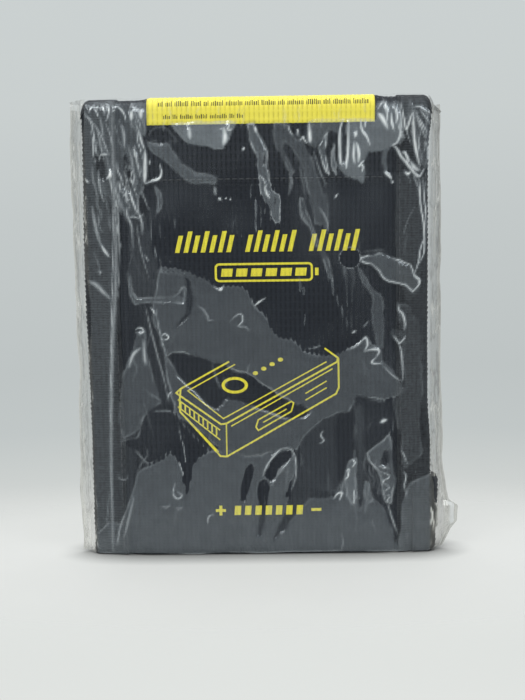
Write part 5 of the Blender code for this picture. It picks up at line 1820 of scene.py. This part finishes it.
def make_sleeve():
    front, back = make_film_front(), make_film_back()
    upright = FILM_FOLD_Z - FILM_LOW
    over_top = math.pi * FILM_RADIUS + FILM_RUN
    for piece, length in ((front, upright + over_top), (back, upright)):
        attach(piece, "sleeve")
        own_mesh(piece)
    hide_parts("clear_sleeve")


# ---------------------------------------------------------------- studio


def make_stage():
    bpy.ops.mesh.primitive_circle_add(vertices=96, radius=0.6, fill_type="NGON", location=(0, 0, 0))
    floor = bpy.context.object
    floor.name = "floor"
    floor.data.materials.append(studio_floor())
    floor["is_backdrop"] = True


def add_light(name, place, aim, size, power, colour=(1, 1, 1)):
    lamp = bpy.data.lights.new(name, "AREA")
    lamp.energy = power
    lamp.color = colour
    lamp.size = size
    spot = bpy.data.objects.new(name, lamp)
    spot.location = place
    spot.rotation_mode = "QUATERNION"
    spot.rotation_quaternion = (Vector(aim) - Vector(place)).to_track_quat("-Z", "Y")
    bpy.context.scene.collection.objects.link(spot)


def colour_steps(tree, value, low, high, stops):
    """Colours along a value that runs from low to high."""
    reach = tree.nodes.new("ShaderNodeMapRange")
    reach.inputs[1].default_value = low
    reach.inputs[2].default_value = high
    tree.links.new(value, reach.inputs[0])
    colours = tree.nodes.new("ShaderNodeValToRGB")
    elements = colours.color_ramp.elements
    while len(elements) < len(stops):
        elements.new(0.5)
    for element, (place, colour) in zip(elements, stops):
        element.position = (place - low) / (high - low)
        element.color = (*colour, 1)
    tree.links.new(reach.outputs[0], colours.inputs[0])
    return colours.outputs[0]


def make_lights():
    add_light("key", (-0.45, -0.60, 0.75), (0, 0, 0.1), 0.50, 3.0, (1.0, 0.99, 0.97))
    add_light("right", (0.60, -0.45, 0.60), (0, 0, 0.1), 0.35, 1.2, (0.96, 0.98, 1.0))
    add_light("overhead", (0.0, 0.05, 0.95), (0, 0, 0), 0.9, 4.2)
    world = bpy.data.worlds.new("studio")
    world.use_nodes = True
    bpy.context.scene.world = world
    tree = world.node_tree
    tree.nodes.clear()
    where = tree.nodes.new("ShaderNodeTexCoord")
    parts = tree.nodes.new("ShaderNodeSeparateXYZ")
    tree.links.new(where.outputs["Generated"], parts.inputs[0])
    height = parts.outputs[2]
    room = ((-1.0, (0.55, 0.57, 0.56)), (-0.05, (0.50, 0.52, 0.52)), (0.2, (0.30, 0.32, 0.33)))
    room += ((0.55, (0.48, 0.50, 0.50)), (1.0, (0.85, 0.87, 0.88)))
    # What the camera sees of the room by height: the floor, with painted light that grows towards the camera,
    # then the wall, with painted shade that deepens towards its foot
    wall = ((-0.45, (0.77, 0.79, 0.77)), (-0.30, (0.70, 0.73, 0.71)), (-0.24, (0.64, 0.665, 0.65)))
    wall += ((-0.175, (0.53, 0.567, 0.565)), (-0.12, (0.513, 0.55, 0.55)), (0.02, (0.545, 0.583, 0.583)))
    wall += ((0.12, (0.585, 0.624, 0.622)), (0.25, (0.60, 0.64, 0.64)))
    seen = tree.nodes.new("ShaderNodeLightPath")
    choose = tree.nodes.new("ShaderNodeMix")
    choose.data_type = "RGBA"
    tree.links.new(seen.outputs["Is Camera Ray"], choose.inputs[0])
    tree.links.new(colour_steps(tree, height, -1, 1, room), choose.inputs[6])
    tree.links.new(colour_steps(tree, height, -0.5, 0.5, wall), choose.inputs[7])
    back = tree.nodes.new("ShaderNodeBackground")
    out = tree.nodes.new("ShaderNodeOutputWorld")
    tree.links.new(choose.outputs[2], back.inputs[0])
    tree.links.new(back.outputs[0], out.inputs[0])
    bpy.context.scene.view_settings.view_transform = "Standard"


def make_camera():
    """Seen from a little above and a little to the right, with the picture's long side up."""
    elevation, azimuth, roll = math.radians(6.0), math.radians(0.9), math.radians(-0.845)
    distance, aim = 0.42, Vector((0.8 * MM, 0, 81.5 * MM))
    level = math.cos(elevation)
    back = Vector((math.sin(azimuth) * level, -math.cos(azimuth) * level, math.sin(elevation)))
    right = (-back).cross(Vector((0, 0, 1))).normalized()
    up = right.cross(-back)
    turned = right * math.cos(roll) + up * math.sin(roll)
    camera = bpy.data.cameras.new("camera")
    camera.lens = 54.2
    camera.sensor_width = 36
    camera.clip_start, camera.clip_end = 0.01, 20
    seat = bpy.data.objects.new("camera", camera)
    axes = Matrix((turned, back.cross(turned), back)).transposed()
    seat.matrix_world = Matrix.Translation(aim + back * distance) @ axes.to_4x4()
    bpy.context.scene.collection.objects.link(seat)
    bpy.context.scene.camera = seat


make_camera()
make_stage()
make_lights()
make_shell()
make_lining()
make_side_tape(-1)
make_side_tape(1)
make_tail()
make_strip_tapes()
make_edge_tapes()
make_label()
make_label_marks()
make_print()
make_stitches()
make_closure()
make_sleeve()

boxes = {"cad": cad_box, "visual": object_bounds()}
{name: [list(corner) for corner in box] for name, box in boxes.items()}
